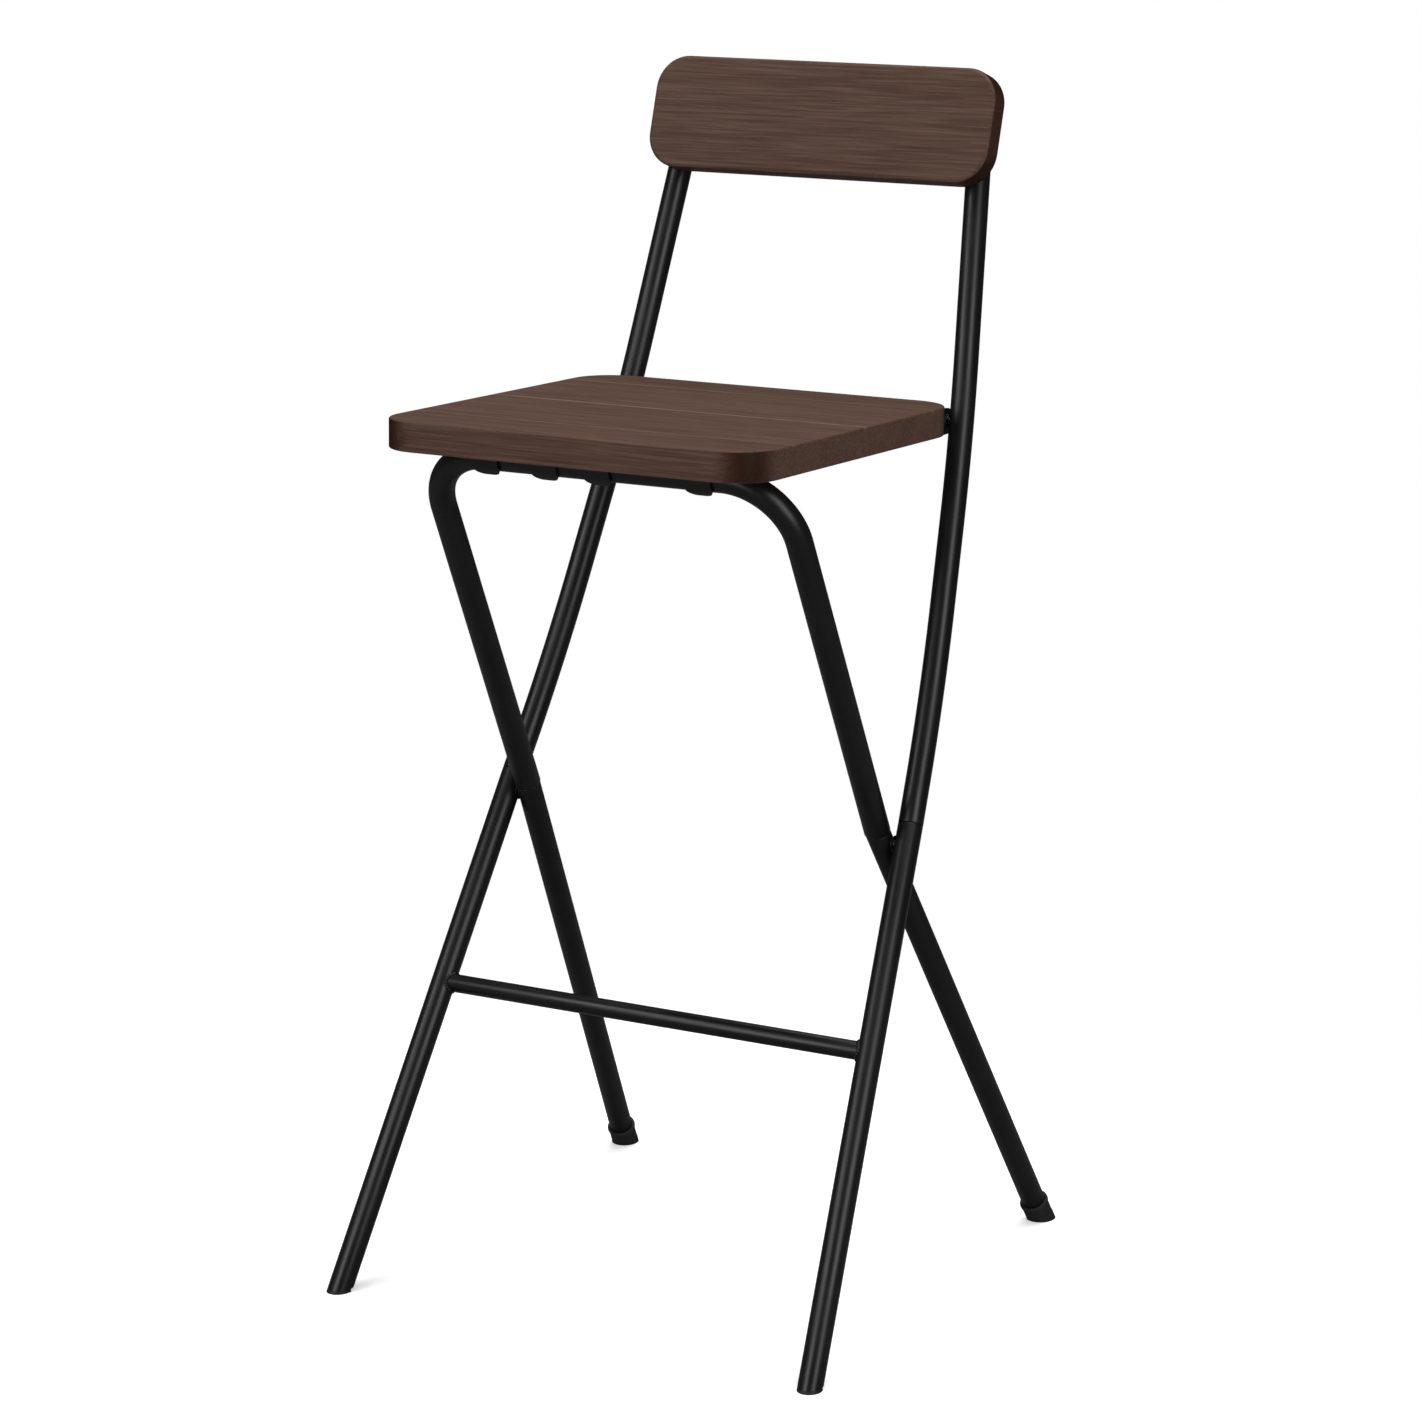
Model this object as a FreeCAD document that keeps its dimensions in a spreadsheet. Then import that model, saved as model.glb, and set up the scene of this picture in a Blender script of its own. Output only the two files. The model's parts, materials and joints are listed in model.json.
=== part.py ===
import FreeCAD, Part

import math
import os

import Sketcher
from FreeCAD import Placement, Rotation, Vector

# Folding bar stool of bent steel tube with a wooden seat and backrest.
# Millimetres, +Z up, the stool's front faces -Y, origin on the floor under the middle.

os.makedirs("parts", exist_ok=True)
doc = FreeCAD.newDocument("folding_bar_stool")
dims = doc.addObject("Spreadsheet::Sheet", "dims")

# Driving dimensions

DRIVING = {
    "leg_radius": 10.4,            # front legs, back tubes and rear legs
    "leg_bore": 8.9,
    "back_bore": 9.0,
    "hoop_radius": 11.0,           # the inverted U that carries the seat's front
    "hoop_bore": 9.5,
    "pivot_y": -4.2,
    "pivot_height": 390.1,
    "front_pivot_x": 192.7,
    "front_foot_x": 224.7,
    "front_foot_y": -228.2,
    "rear_pivot_x": 169.7,
    "rear_foot_x": 213.1,
    "rear_foot_y": 225.8,
    "upper_splay": 5.4,            # degrees, inward lean of the back tubes
    "front_joint_rise": 18.0,      # from the pivot to the joint of leg and upper tube
    "rear_joint_rise": 12.0,
    "joint_seam": 0.5,
    "collar_drop": 5.5,            # from the joint down to the collar that joins leg and spigot
    "collar_length": 3.5,
    "collar_bite": 0.7,
    "collar_lap": 3.4,
    "spigot_root": 4.5,
    "spigot_length": 28.0,
    "spigot_wall": 1.6,
    "spigot_gap": 0.3,
    "back_straight_low": 32.0,
    "back_straight_mid": 66.0,
    "back_straight_top": 208.0,
    "back_bend_radius": 1400.0,
    "back_bend_low": 6.5,          # degrees
    "back_bend_high": 6.0,
    "hoop_lean": 26.5,
    "hoop_corner_x": 164.5,
    "hoop_rise": 348.5,
    "hoop_bend_radius": 56.0,
    "foot_rim": 2.5,
    "plug_depth": 24.0,
    "plug_wall": 2.0,
    "top_plug_depth": 8.0,
    "top_plug_dome": 3.0,
    "top_plug_chamfer": 1.0,
    "cap_radius": 12.2,
    "cap_height": 23.0,
    "cap_sole": 4.0,
    "cap_grip": 0.5,
    "footrest_height": 238.6,
    "footrest_radius": 7.8,
    "footrest_bore": 6.6,
    "panel_width": 327.0,
    "panel_height": 98.0,
    "panel_thickness": 20.0,
    "panel_corner": 29.0,
    "panel_edge_round": 3.5,
    "panel_back_round": 1.2,
    "panel_drop": 20.0,            # from the back tube's end down to the panel's middle
    "panel_groove": 0.5,
    "panel_screw_spacing": 34.0,
    "panel_screw_drop": 9.0,       # the screws sit below the middle, clear of the tube's end
    "panel_screw_hold": 12.0,
    "seat_height": 742.3,
    "seat_width": 350.0,
    "seat_depth": 353.0,
    "seat_thickness": 24.5,
    "seat_corner": 38.0,
    "seat_edge_round": 1.6,
    "seat_middle_y": -55.9,
    "seat_slope": 1.5,             # degrees, falling to the rear
    "hinge_height": 716.8,
    "bed_gap": 0.6,                # between the hoop's cross tube and its bed
    "bed_half_length": 134.0,
    "clip_width": 24.0,
    "clip_thickness": 2.0,
    "clip_foot": 17.0,
    "clip_lip": 3.5,
    "clip_lip_angle": 33.0,        # degrees below the seat, the way the tube leaves
    "clip_corner": 6.0,
    "clip_corner_height": 9.2,
    "ear_thickness": 2.5,
    "ear_radius": 11.0,
    "ear_gap": 2.6,                # from the ear to the back tube's inner face
    "ear_reach": 88.0,
    "ear_rib": 7.0,
    "ear_overhang": 0.8,
    "flange_width": 26.0,
    "flange_start": 33.0,
    "flange_corner": 6.0,
    "flange_screw_inset": 10.0,
    "rivet_radius": 4.0,
    "rivet_head": 6.0,
    "rivet_head_height": 2.0,
    "rivet_chamfer": 0.6,
    "rivet_head_gap": 0.4,
    "washer_radius": 7.0,
    "washer_gap": 0.25,
    "nut_bore": 2.5,
    "nut_length": 12.0,
    "nut_flange": 0.9,
    "nut_flange_reach": 1.8,
    "nut_sink": 0.5,
    "shoulder_length": 10.0,
    "shoulder_head": 7.0,
    "shoulder_head_height": 2.8,
    "running_gap": 0.05,
    "screw_radius": 2.1,
    "screw_play": 0.1,
    "tube_screw_play": 0.5,
    "screw_head": 4.2,
    "back_screw_head_height": 2.6,
    "seat_screw_head_height": 2.4,
    "seat_screw_length": 14.0,
}
for row, (alias, value) in enumerate(DRIVING.items(), start=1):
    dims.set("A%d" % row, alias.replace("_", " "))
    dims.set("B%d" % row, str(value))
    dims.setAlias("B%d" % row, alias)
doc.recompute()


def size(alias):
    return float(dims.get(alias))


# Sketch and feature helpers

def new_body(label, place):
    body = doc.addObject("PartDesign::Body", label)
    body.Label = label
    if isinstance(place, str):
        body.setExpression("Placement", place)
    else:
        body.Placement = place
    return body


def new_sketch(body, name, role, offset=None):
    plane = [item for item in body.Origin.OriginFeatures if item.Role == role][0]
    sketch = body.newObject("Sketcher::SketchObject", name)
    sketch.AttachmentSupport = [(plane, "")]
    sketch.MapMode = "FlatFace"
    if offset is not None:
        sketch.AttachmentOffset = offset
    return sketch


def value_of(expression):
    return float(dims.evalExpression(str(expression).replace("dims.", "")))


def bind(sketch, constraint, expression):
    index = sketch.addConstraint(constraint)
    sketch.setExpression("Constraints[%d]" % index, str(expression))


def add_circle(sketch, radius, across="0", along="0"):
    """Circle whose radius and centre follow the sheet."""
    centre = Vector(value_of(across), value_of(along), 0)
    item = sketch.addGeometry(Part.Circle(centre, Vector(0, 0, 1), value_of(radius)))
    bind(sketch, Sketcher.Constraint("Radius", item, value_of(radius)), radius)
    for kind, text, place in (("DistanceX", across, centre.x), ("DistanceY", along, centre.y)):
        if text != "0":
            bind(sketch, Sketcher.Constraint(kind, -1, 1, item, 3, place), text)
    if across == "0" and along == "0":
        sketch.addConstraint(Sketcher.Constraint("Coincident", item, 3, -1, 1))
    return item


def add_ring(sketch, outer, inner, across="0", along="0"):
    add_circle(sketch, outer, across, along)
    add_circle(sketch, inner, across, along)


def add_outline(sketch, corners):
    """Closed outline whose corners follow the sheet."""
    places = [Vector(value_of(across), value_of(along), 0) for across, along in corners]
    first = sketch.GeometryCount
    for start, end in zip(places, places[1:] + places[:1]):
        sketch.addGeometry(Part.LineSegment(start, end))
    for index, (across, along) in enumerate(corners):
        item = first + index
        following = first + (index + 1) % len(corners)
        sketch.addConstraint(Sketcher.Constraint("Coincident", item, 2, following, 1))
        place = places[index]
        bind(sketch, Sketcher.Constraint("DistanceX", -1, 1, item, 1, place.x), across)
        bind(sketch, Sketcher.Constraint("DistanceY", -1, 1, item, 1, place.y), along)


def pad(body, sketch, length, reverse=False):
    feature = body.newObject("PartDesign::Pad", sketch.Name + "_pad")
    feature.Profile = sketch
    feature.setExpression("Length", str(length))
    feature.Reversed = reverse
    return feature


def cut_across(body, sketch):
    """Pocket through everything, both ways from its sketch, which must remove material."""
    doc.recompute()
    before = body.Shape.Volume
    feature = body.newObject("PartDesign::Pocket", sketch.Name + "_cut")
    feature.Profile = sketch
    feature.Type = 1
    feature.Midplane = True
    doc.recompute()
    if body.Shape.Volume > before - 0.01:
        raise RuntimeError(sketch.Name + " removes nothing from " + body.Label)
    return feature


def drill(body, name, radius, length, start, direction):
    """Round hole from a world point along a world direction."""
    local = body.Placement.inverse()
    hole = body.newObject("PartDesign::SubtractiveCylinder", name)
    hole.setExpression("Radius", str(radius))
    hole.Height = length
    turn = Rotation(Vector(0, 0, 1), local.Rotation.multVec(direction))
    hole.Placement = Placement(local.multVec(start), turn)
    return hole


def raised(height):
    return Placement(Vector(0, 0, height), Rotation())


def along_axis(edge, axis):
    """True for a straight edge of the body that runs along one local axis."""
    if not isinstance(edge.Curve, Part.Line):
        return False
    return abs(getattr(edge.tangentAt(edge.FirstParameter), axis)) > 0.999


def lies_at(edge, axis, level):
    box = edge.BoundBox
    low, high = getattr(box, axis.upper() + "Min"), getattr(box, axis.upper() + "Max")
    return abs(low - level) < 1e-4 and abs(high - level) < 1e-4


def round_edges(body, name, radius, wanted):
    doc.recompute()
    base = body.Tip
    picked = ["Edge%d" % (index + 1) for index, edge in enumerate(base.Shape.Edges)
              if wanted(edge)]
    fillet = body.newObject("PartDesign::Fillet", name)
    fillet.Base = (base, picked)
    fillet.setExpression("Radius", radius)
    doc.recompute()
    if not fillet.isValid():
        raise RuntimeError("%s failed on %s" % (name, picked))
    return fillet


# Frame geometry shared by the tubes

SIDES = {"left": -1, "right": 1}
FRONT_FOOT = Vector(size("front_foot_x"), size("front_foot_y"), 0)
FRONT_PIVOT = Vector(size("front_pivot_x"), size("pivot_y"), size("pivot_height"))
REAR_FOOT = Vector(size("rear_foot_x"), size("rear_foot_y"), 0)
REAR_PIVOT = Vector(size("rear_pivot_x"), size("pivot_y"), size("pivot_height"))


def mirrored(point, side):
    return Vector(point.x * side, point.y, point.z)


def along(start, through, beyond):
    """Point past through on the line from start, by the distance beyond."""
    direction = (through - start).normalize()
    return through + direction * beyond


FRONT_JOINT = along(FRONT_FOOT, FRONT_PIVOT, size("front_joint_rise"))
REAR_JOINT = along(REAR_FOOT, REAR_PIVOT, size("rear_joint_rise"))
LEAN = math.degrees(math.atan2(FRONT_PIVOT.y - FRONT_FOOT.y, math.hypot(
    FRONT_FOOT.x - FRONT_PIVOT.x, FRONT_PIVOT.z)))
SPLAY = size("upper_splay")


def back_frame_at(side):
    """Frame of a back tube: origin at its joint, Z along its lower end, bend plane YZ."""
    return Placement(mirrored(FRONT_JOINT, side), Rotation(0, -SPLAY * side, -LEAN))


def back_point(distance):
    """World point and direction of the right back tube's centre line."""
    radius = size("back_bend_radius")
    point = Vector(0, 0, 0)
    turned = 0.0
    left = distance
    for straight, bend in (("back_straight_low", "back_bend_low"),
                           ("back_straight_mid", "back_bend_high"),
                           ("back_straight_top", None)):
        step = min(left, size(straight)) if bend else left
        point += Vector(0, -math.sin(turned), math.cos(turned)) * step
        left -= step
        if left <= 0 or bend is None:
            break
        turn = min(left / radius, math.radians(size(bend)))
        centre = point + Vector(0, -math.cos(turned), -math.sin(turned)) * radius
        turned += turn
        point = centre + Vector(0, math.cos(turned), math.sin(turned)) * radius
        left -= turn * radius
    frame = back_frame_at(1)
    direction = frame.Rotation.multVec(Vector(0, -math.sin(turned), math.cos(turned)))
    return frame.multVec(point), direction


def back_length():
    bends = math.radians(size("back_bend_low") + size("back_bend_high"))
    straights = size("back_straight_low") + size("back_straight_mid") + size("back_straight_top")
    return straights + bends * size("back_bend_radius")


def back_distance_at(height):
    """Distance along the back tube at which its centre line reaches a height."""
    low, high = 0.0, back_length()
    for _ in range(40):
        middle = (low + high) / 2
        if back_point(middle)[0].z < height:
            low = middle
        else:
            high = middle
    return low


# Legs, each a straight tube with a necked spigot that enters the tube above it

def leg_place(foot, pivot, side):
    """Frame of a leg: origin on the floor, Z up the leg, YZ plane upright."""
    toward = mirrored(pivot - foot, side)
    yaw = math.degrees(math.atan2(-toward.x, toward.y))
    tilt = math.degrees(math.atan2(math.hypot(toward.x, toward.y), toward.z))
    return Placement(mirrored(foot, side), Rotation(yaw, 0, -tilt)), tilt


CUT_REACH = 30.0   # half width of an outline that cuts a whole leg
STUB = 15.0        # length that a leg's round stock runs below the floor before it is cut
BELOW = -1
ABOVE = 1


def level_cut(body, name, tilt, height, kept_off):
    """Takes away everything below or above a level plane, drawn in the leg's upright plane."""
    slope = math.tan(math.radians(tilt))
    rise = "(%s) / %.6f" % (height, math.cos(math.radians(tilt)))
    sketch = new_sketch(body, name, "YZ_Plane")
    add_outline(sketch, [
        (-CUT_REACH, "%s - %.6f" % (rise, CUT_REACH * slope)),
        (CUT_REACH, "%s + %.6f" % (rise, CUT_REACH * slope)),
        (CUT_REACH, kept_off * 3 * CUT_REACH),
        (-CUT_REACH, kept_off * 3 * CUT_REACH),
    ])
    return cut_across(body, sketch)


def make_leg(label, foot, pivot, joint, upper_rotation, upper_bore, end_height, side):
    place, tilt = leg_place(foot, pivot, side)
    body = new_body(label, place)
    length = (joint - foot).Length
    stock = new_sketch(body, label + "_stock", "XY_Plane", raised(-STUB))
    add_ring(stock, "dims.leg_radius", "dims.leg_bore")
    pad(body, stock, "%.4f" % (length + STUB + 5))
    level_cut(body, label + "_end", tilt, end_height, BELOW)
    # the mouth is square to the upper tube, which leaves at a slightly different angle
    mouth = Placement(Vector(0, 0, length), place.Rotation.inverted().multiply(upper_rotation))
    trim = body.newObject("PartDesign::SubtractiveCylinder", label + "_mouth")
    trim.setExpression("Radius", "3 * dims.leg_radius")
    trim.Height = 40
    trim.Placement = mouth.multiply(raised(-size("joint_seam")))
    collar_at = raised(length - size("collar_drop"))
    collar = new_sketch(body, label + "_collar", "XY_Plane", collar_at)
    add_ring(collar, "dims.leg_bore + dims.collar_bite", "dims.leg_bore - dims.collar_lap")
    pad(body, collar, "dims.collar_length")
    spigot_at = mouth.multiply(raised(-size("spigot_root")))
    spigot = new_sketch(body, label + "_spigot", "XY_Plane", spigot_at)
    add_ring(spigot, "%s - dims.spigot_gap" % upper_bore,
             "%s - dims.spigot_gap - dims.spigot_wall" % upper_bore)
    pad(body, spigot, "dims.spigot_length + dims.spigot_root")
    return body


# Back tubes, bent once, long and gently, in the plane of the frame's side

def make_back_tube(label, side):
    body = new_body(label, back_frame_at(side))
    path = new_sketch(body, label + "_path", "YZ_Plane")
    radius = size("back_bend_radius")
    low, high = math.radians(size("back_bend_low")), math.radians(size("back_bend_high"))
    start = Vector(0, 0, 0)
    bend_start = Vector(0, size("back_straight_low"), 0)
    centre = bend_start - Vector(radius, 0, 0)
    bend_end = centre + Vector(math.cos(low), math.sin(low), 0) * radius
    middle_end = bend_end + Vector(-math.sin(low), math.cos(low), 0) * size("back_straight_mid")
    centre_high = middle_end - Vector(math.cos(low), math.sin(low), 0) * radius
    total = low + high
    high_end = centre_high + Vector(math.cos(total), math.sin(total), 0) * radius
    top = high_end + Vector(-math.sin(total), math.cos(total), 0) * size("back_straight_top")
    normal = Vector(0, 0, 1)
    lines = [path.addGeometry(Part.LineSegment(start, bend_start))]
    arcs = [path.addGeometry(Part.ArcOfCircle(Part.Circle(centre, normal, radius), 0, low))]
    lines.append(path.addGeometry(Part.LineSegment(bend_end, middle_end)))
    arcs.append(path.addGeometry(Part.ArcOfCircle(
        Part.Circle(centre_high, normal, radius), low, total)))
    lines.append(path.addGeometry(Part.LineSegment(high_end, top)))
    path.addConstraint(Sketcher.Constraint("Coincident", lines[0], 1, -1, 1))
    path.addConstraint(Sketcher.Constraint("Vertical", lines[0]))
    for before, arc, after in ((lines[0], arcs[0], lines[1]), (lines[1], arcs[1], lines[2])):
        path.addConstraint(Sketcher.Constraint("Tangent", before, 2, arc, 1))
        path.addConstraint(Sketcher.Constraint("Tangent", arc, 2, after, 1))
        bind(path, Sketcher.Constraint("Radius", arc, radius), "dims.back_bend_radius")
    for line, alias in zip(lines, ("low", "mid", "top")):
        alias = "back_straight_" + alias
        bind(path, Sketcher.Constraint("Distance", line, size(alias)), "dims." + alias)
    bind(path, Sketcher.Constraint("Angle", lines[1], math.pi / 2 + low),
         "90 deg + dims.back_bend_low * 1 deg")
    bind(path, Sketcher.Constraint("Angle", lines[2], math.pi / 2 + total),
         "90 deg + (dims.back_bend_low + dims.back_bend_high) * 1 deg")
    ring = new_sketch(body, label + "_ring", "XY_Plane")
    add_ring(ring, "dims.leg_radius", "dims.back_bore")
    doc.recompute()
    sweep = body.newObject("PartDesign::AdditivePipe", label + "_sweep")
    sweep.Profile = ring
    sweep.Spine = (path, ["Edge%d" % (edge + 1) for edge in range(5)])
    for hole, point in enumerate(panel_screw_points(side)):
        drill(body, "%s_screw_hole_%d" % (label, hole), "dims.screw_radius + dims.tube_screw_play",
              40, point - PANEL_NORMAL * 20, PANEL_NORMAL)
    drill(body, label + "_nut_hole", "dims.rivet_radius", 12, HINGE_AT[side], Vector(-side, 0, 0))
    return body


# Where the panel and the hinge meet the back tubes

PANEL_AXIS, PANEL_UP = back_point(back_length() - size("panel_drop"))
PANEL_TILT = math.degrees(math.atan2(PANEL_UP.y, PANEL_UP.z))
PANEL_NORMAL = Vector(0, math.cos(math.radians(PANEL_TILT)), -math.sin(math.radians(PANEL_TILT)))
PANEL_BACK = Vector(0, PANEL_AXIS.y, PANEL_AXIS.z) - PANEL_NORMAL * (
    size("leg_radius") - size("panel_groove"))


def panel_screw_points(side):
    half = size("panel_screw_spacing") / 2
    middle = back_length() - size("panel_drop") - size("panel_screw_drop")
    return [mirrored(back_point(middle + offset)[0], side) for offset in (-half, half)]


HINGE_AXIS = back_point(back_distance_at(size("hinge_height")))[0]
HINGE_AT = {side: mirrored(HINGE_AXIS, side) for side in SIDES.values()}
TUBE_FACE_X = HINGE_AXIS.x - size("leg_radius") / math.cos(math.radians(SPLAY))

for side_name, side in SIDES.items():
    make_back_tube("back_tube_" + side_name, side)
    make_leg("front_leg_" + side_name, FRONT_FOOT, FRONT_PIVOT, FRONT_JOINT,
             back_frame_at(side).Rotation, "dims.back_bore", "dims.foot_rim", side)


# Hoop: half of the inverted U is swept, then mirrored

HOOP_PLACE = Placement(Vector(0, REAR_JOINT.y, REAR_JOINT.z), Rotation(0, 0, size("hoop_lean")))
HOOP_SLANT = math.degrees(math.atan2(size("hoop_rise"), size("hoop_corner_x") - REAR_JOINT.x))
CROSS_TUBE = HOOP_PLACE.multVec(Vector(0, 0, size("hoop_rise")))


def make_hoop(label):
    body = new_body(label, HOOP_PLACE)
    radius = size("hoop_bend_radius")
    foot = Vector(REAR_JOINT.x, 0, 0)
    corner = Vector(size("hoop_corner_x"), size("hoop_rise"), 0)
    up = (corner - foot).normalize()
    setback = radius * math.tan((math.pi - math.radians(HOOP_SLANT)) / 2)
    bend_start = corner - up * setback
    bend_end = corner - Vector(setback, 0, 0)
    centre = Vector(bend_end.x, bend_end.y - radius, 0)
    start_angle = math.atan2(bend_start.y - centre.y, bend_start.x - centre.x)
    path = new_sketch(body, label + "_path", "XZ_Plane")
    side_line = path.addGeometry(Part.LineSegment(foot, bend_start))
    arc = path.addGeometry(Part.ArcOfCircle(
        Part.Circle(centre, Vector(0, 0, 1), radius), start_angle, math.pi / 2))
    cross = path.addGeometry(Part.LineSegment(bend_end, Vector(0, size("hoop_rise"), 0)))
    path.addConstraint(Sketcher.Constraint("PointOnObject", side_line, 1, -1))
    bind(path, Sketcher.Constraint("DistanceX", -1, 1, side_line, 1, foot.x), "%.6f" % foot.x)
    path.addConstraint(Sketcher.Constraint("Tangent", side_line, 2, arc, 1))
    path.addConstraint(Sketcher.Constraint("Tangent", arc, 2, cross, 1))
    path.addConstraint(Sketcher.Constraint("Horizontal", cross))
    path.addConstraint(Sketcher.Constraint("PointOnObject", cross, 2, -2))
    bind(path, Sketcher.Constraint("DistanceY", -1, 1, cross, 2, size("hoop_rise")),
         "dims.hoop_rise")
    bind(path, Sketcher.Constraint("Radius", arc, radius), "dims.hoop_bend_radius")
    bind(path, Sketcher.Constraint("Angle", side_line, math.radians(HOOP_SLANT)),
         "atan2(dims.hoop_rise; dims.hoop_corner_x - %.6f)" % foot.x)
    ring = new_sketch(body, label + "_ring", "XY_Plane")
    add_ring(ring, "dims.hoop_radius", "dims.hoop_bore", "%.6f" % foot.x)
    doc.recompute()
    sweep = body.newObject("PartDesign::AdditivePipe", label + "_sweep")
    sweep.Profile = ring
    sweep.Spine = (path, ["Edge1", "Edge2", "Edge3"])
    doc.recompute()
    mirror = body.newObject("PartDesign::Mirrored", label + "_mirror")
    mirror.Originals = [sweep]
    middle = [item for item in body.Origin.OriginFeatures if item.Role == "YZ_Plane"][0]
    mirror.MirrorPlane = (middle, [""])
    body.Tip = mirror
    return body


make_hoop("seat_hoop")
for side_name, side in SIDES.items():
    slant = Rotation(0, (90 - HOOP_SLANT) * side, 0)
    upper = HOOP_PLACE.Rotation.multiply(slant)
    make_leg("rear_leg_" + side_name, REAR_FOOT, REAR_PIVOT, REAR_JOINT, upper,
             "dims.hoop_bore", "dims.cap_sole", side)
doc.recompute()


# Feet: plugs pushed into the front legs, caps pushed over the rear legs

def make_foot_plug(label, side):
    place, tilt = leg_place(FRONT_FOOT, FRONT_PIVOT, side)
    body = new_body(label, place)
    rim = new_sketch(body, label + "_rim", "XY_Plane", raised(-STUB))
    add_circle(rim, "dims.leg_radius")
    pad(body, rim, "%.4f + dims.foot_rim" % STUB)
    level_cut(body, label + "_roof", tilt, "dims.foot_rim", ABOVE)
    stem = new_sketch(body, label + "_stem", "XY_Plane", raised(-STUB))
    add_ring(stem, "dims.leg_bore", "dims.leg_bore - dims.plug_wall")
    pad(body, stem, "%.4f + dims.plug_depth" % STUB)
    level_cut(body, label + "_sole", tilt, "0", BELOW)


def make_foot_cap(label, side):
    place, tilt = leg_place(REAR_FOOT, REAR_PIVOT, side)
    body = new_body(label, place)
    sole = new_sketch(body, label + "_sole", "XY_Plane", raised(-STUB))
    add_circle(sole, "dims.leg_radius + dims.cap_grip")
    pad(body, sole, "%.4f + dims.cap_sole" % STUB)
    level_cut(body, label + "_bore_floor", tilt, "dims.cap_sole", ABOVE)
    wall = new_sketch(body, label + "_wall", "XY_Plane", raised(-STUB))
    add_ring(wall, "dims.cap_radius", "dims.leg_radius")
    pad(body, wall, "%.4f + dims.cap_height" % STUB)
    level_cut(body, label + "_floor", tilt, "0", BELOW)


for side_name, side in SIDES.items():
    make_foot_plug("front_foot_plug_" + side_name, side)
    make_foot_cap("rear_foot_cap_" + side_name, side)


# Domed plugs in the open upper ends of the back tubes

def make_top_plug(label, side):
    point, direction = back_point(back_length())
    place = Placement(mirrored(point, side), Rotation(0, -SPLAY * side, -LEAN).multiply(
        Rotation(0, 0, size("back_bend_low") + size("back_bend_high"))))
    body = new_body(label, place)
    profile = new_sketch(body, label + "_profile", "XZ_Plane")
    add_outline(profile, [
        ("0", "-dims.top_plug_depth"),
        ("dims.back_bore - dims.top_plug_chamfer", "-dims.top_plug_depth"),
        ("dims.back_bore", "1.5 * dims.top_plug_chamfer - dims.top_plug_depth"),
        ("dims.back_bore", "0"),
        ("dims.leg_radius", "0"),
        ("dims.leg_radius - 0.2 * dims.top_plug_dome", "dims.top_plug_dome - 1.6"),
        ("dims.leg_radius - dims.top_plug_dome", "0.8 * dims.top_plug_dome"),
        ("0", "dims.top_plug_dome"),
    ])
    turned = body.newObject("PartDesign::Revolution", label + "_turned")
    turned.Profile = profile
    turned.ReferenceAxis = (profile, ["V_Axis"])
    turned.Angle = 360


# Footrest, a round bar coped to fit between the two front legs

def leg_cutter(side):
    place, _ = leg_place(FRONT_FOOT, FRONT_PIVOT, side)
    cutter = doc.addObject("Part::Cylinder", "footrest_cope")
    cutter.setExpression("Radius", "dims.leg_radius")
    cutter.Height = 500
    cutter.Placement = place
    return cutter


def make_footrest(label):
    share = size("footrest_height") / FRONT_PIVOT.z
    middle = FRONT_FOOT + (FRONT_PIVOT - FRONT_FOOT) * share
    bar = doc.addObject("Part::Cylinder", "footrest_stock")
    bore = doc.addObject("Part::Cylinder", "footrest_hollow")
    for item, alias in ((bar, "footrest_radius"), (bore, "footrest_bore")):
        item.setExpression("Radius", "dims." + alias)
        item.Height = 2 * middle.x
        left_end = Vector(-middle.x, middle.y, middle.z)
        item.Placement = Placement(left_end, Rotation(Vector(0, 1, 0), 90))
    tools = doc.addObject("Part::MultiFuse", "footrest_cuts")
    tools.Shapes = [bore, leg_cutter(-1), leg_cutter(1)]
    coped = doc.addObject("Part::Cut", label)
    coped.Base = bar
    coped.Tool = tools
    coped.Label = label


# Backrest panel with its grooves for the tubes

def make_panel(label):
    body = new_body(label, Placement(PANEL_BACK, Rotation(0, 0, -PANEL_TILT)))
    face = new_sketch(body, label + "_outline", "XZ_Plane")
    half_wide, half_high = "dims.panel_width / 2", "dims.panel_height / 2"
    add_outline(face, [("-" + half_wide, "-" + half_high), (half_wide, "-" + half_high),
                       (half_wide, half_high), ("-" + half_wide, half_high)])
    pad(body, face, "dims.panel_thickness")
    doc.recompute()
    round_edges(body, label + "_corners", "dims.panel_corner", lambda edge: along_axis(edge, "y"))
    front = -size("panel_thickness")
    round_edges(body, label + "_front_round", "dims.panel_edge_round",
                lambda edge: lies_at(edge, "y", front))
    round_edges(body, label + "_back_round", "dims.panel_back_round",
                lambda edge: lies_at(edge, "y", 0))
    groove_radius = "dims.leg_radius + dims.running_gap"
    for side in SIDES.values():
        start = mirrored(PANEL_AXIS - PANEL_UP * size("panel_height"), side)
        drill(body, "%s_groove_%d" % (label, side), groove_radius, 2 * size("panel_height"),
              start, mirrored(PANEL_UP, side))
        for hole, point in enumerate(panel_screw_points(side)):
            drill(body, "%s_pilot_%d_%d" % (label, side, hole), "dims.screw_radius", 24,
                  point, PANEL_NORMAL * -1)


make_footrest("footrest_bar")
make_panel("backrest_panel")
for side_name, side in SIDES.items():
    make_top_plug("back_tube_plug_" + side_name, side)


# Turned fasteners, drawn as half profiles around their own Z axis

def turned_solid(profile):
    points = [Vector(across, 0, up) for across, up in profile]
    wire = Part.makePolygon(points + points[:1])
    return Part.Face(wire).revolve(Vector(0, 0, 0), Vector(0, 0, 1), 360)


def set_shape(label, shape):
    item = doc.addObject("Part::Feature", label)
    item.Label = label
    item.Shape = shape
    return item


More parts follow.
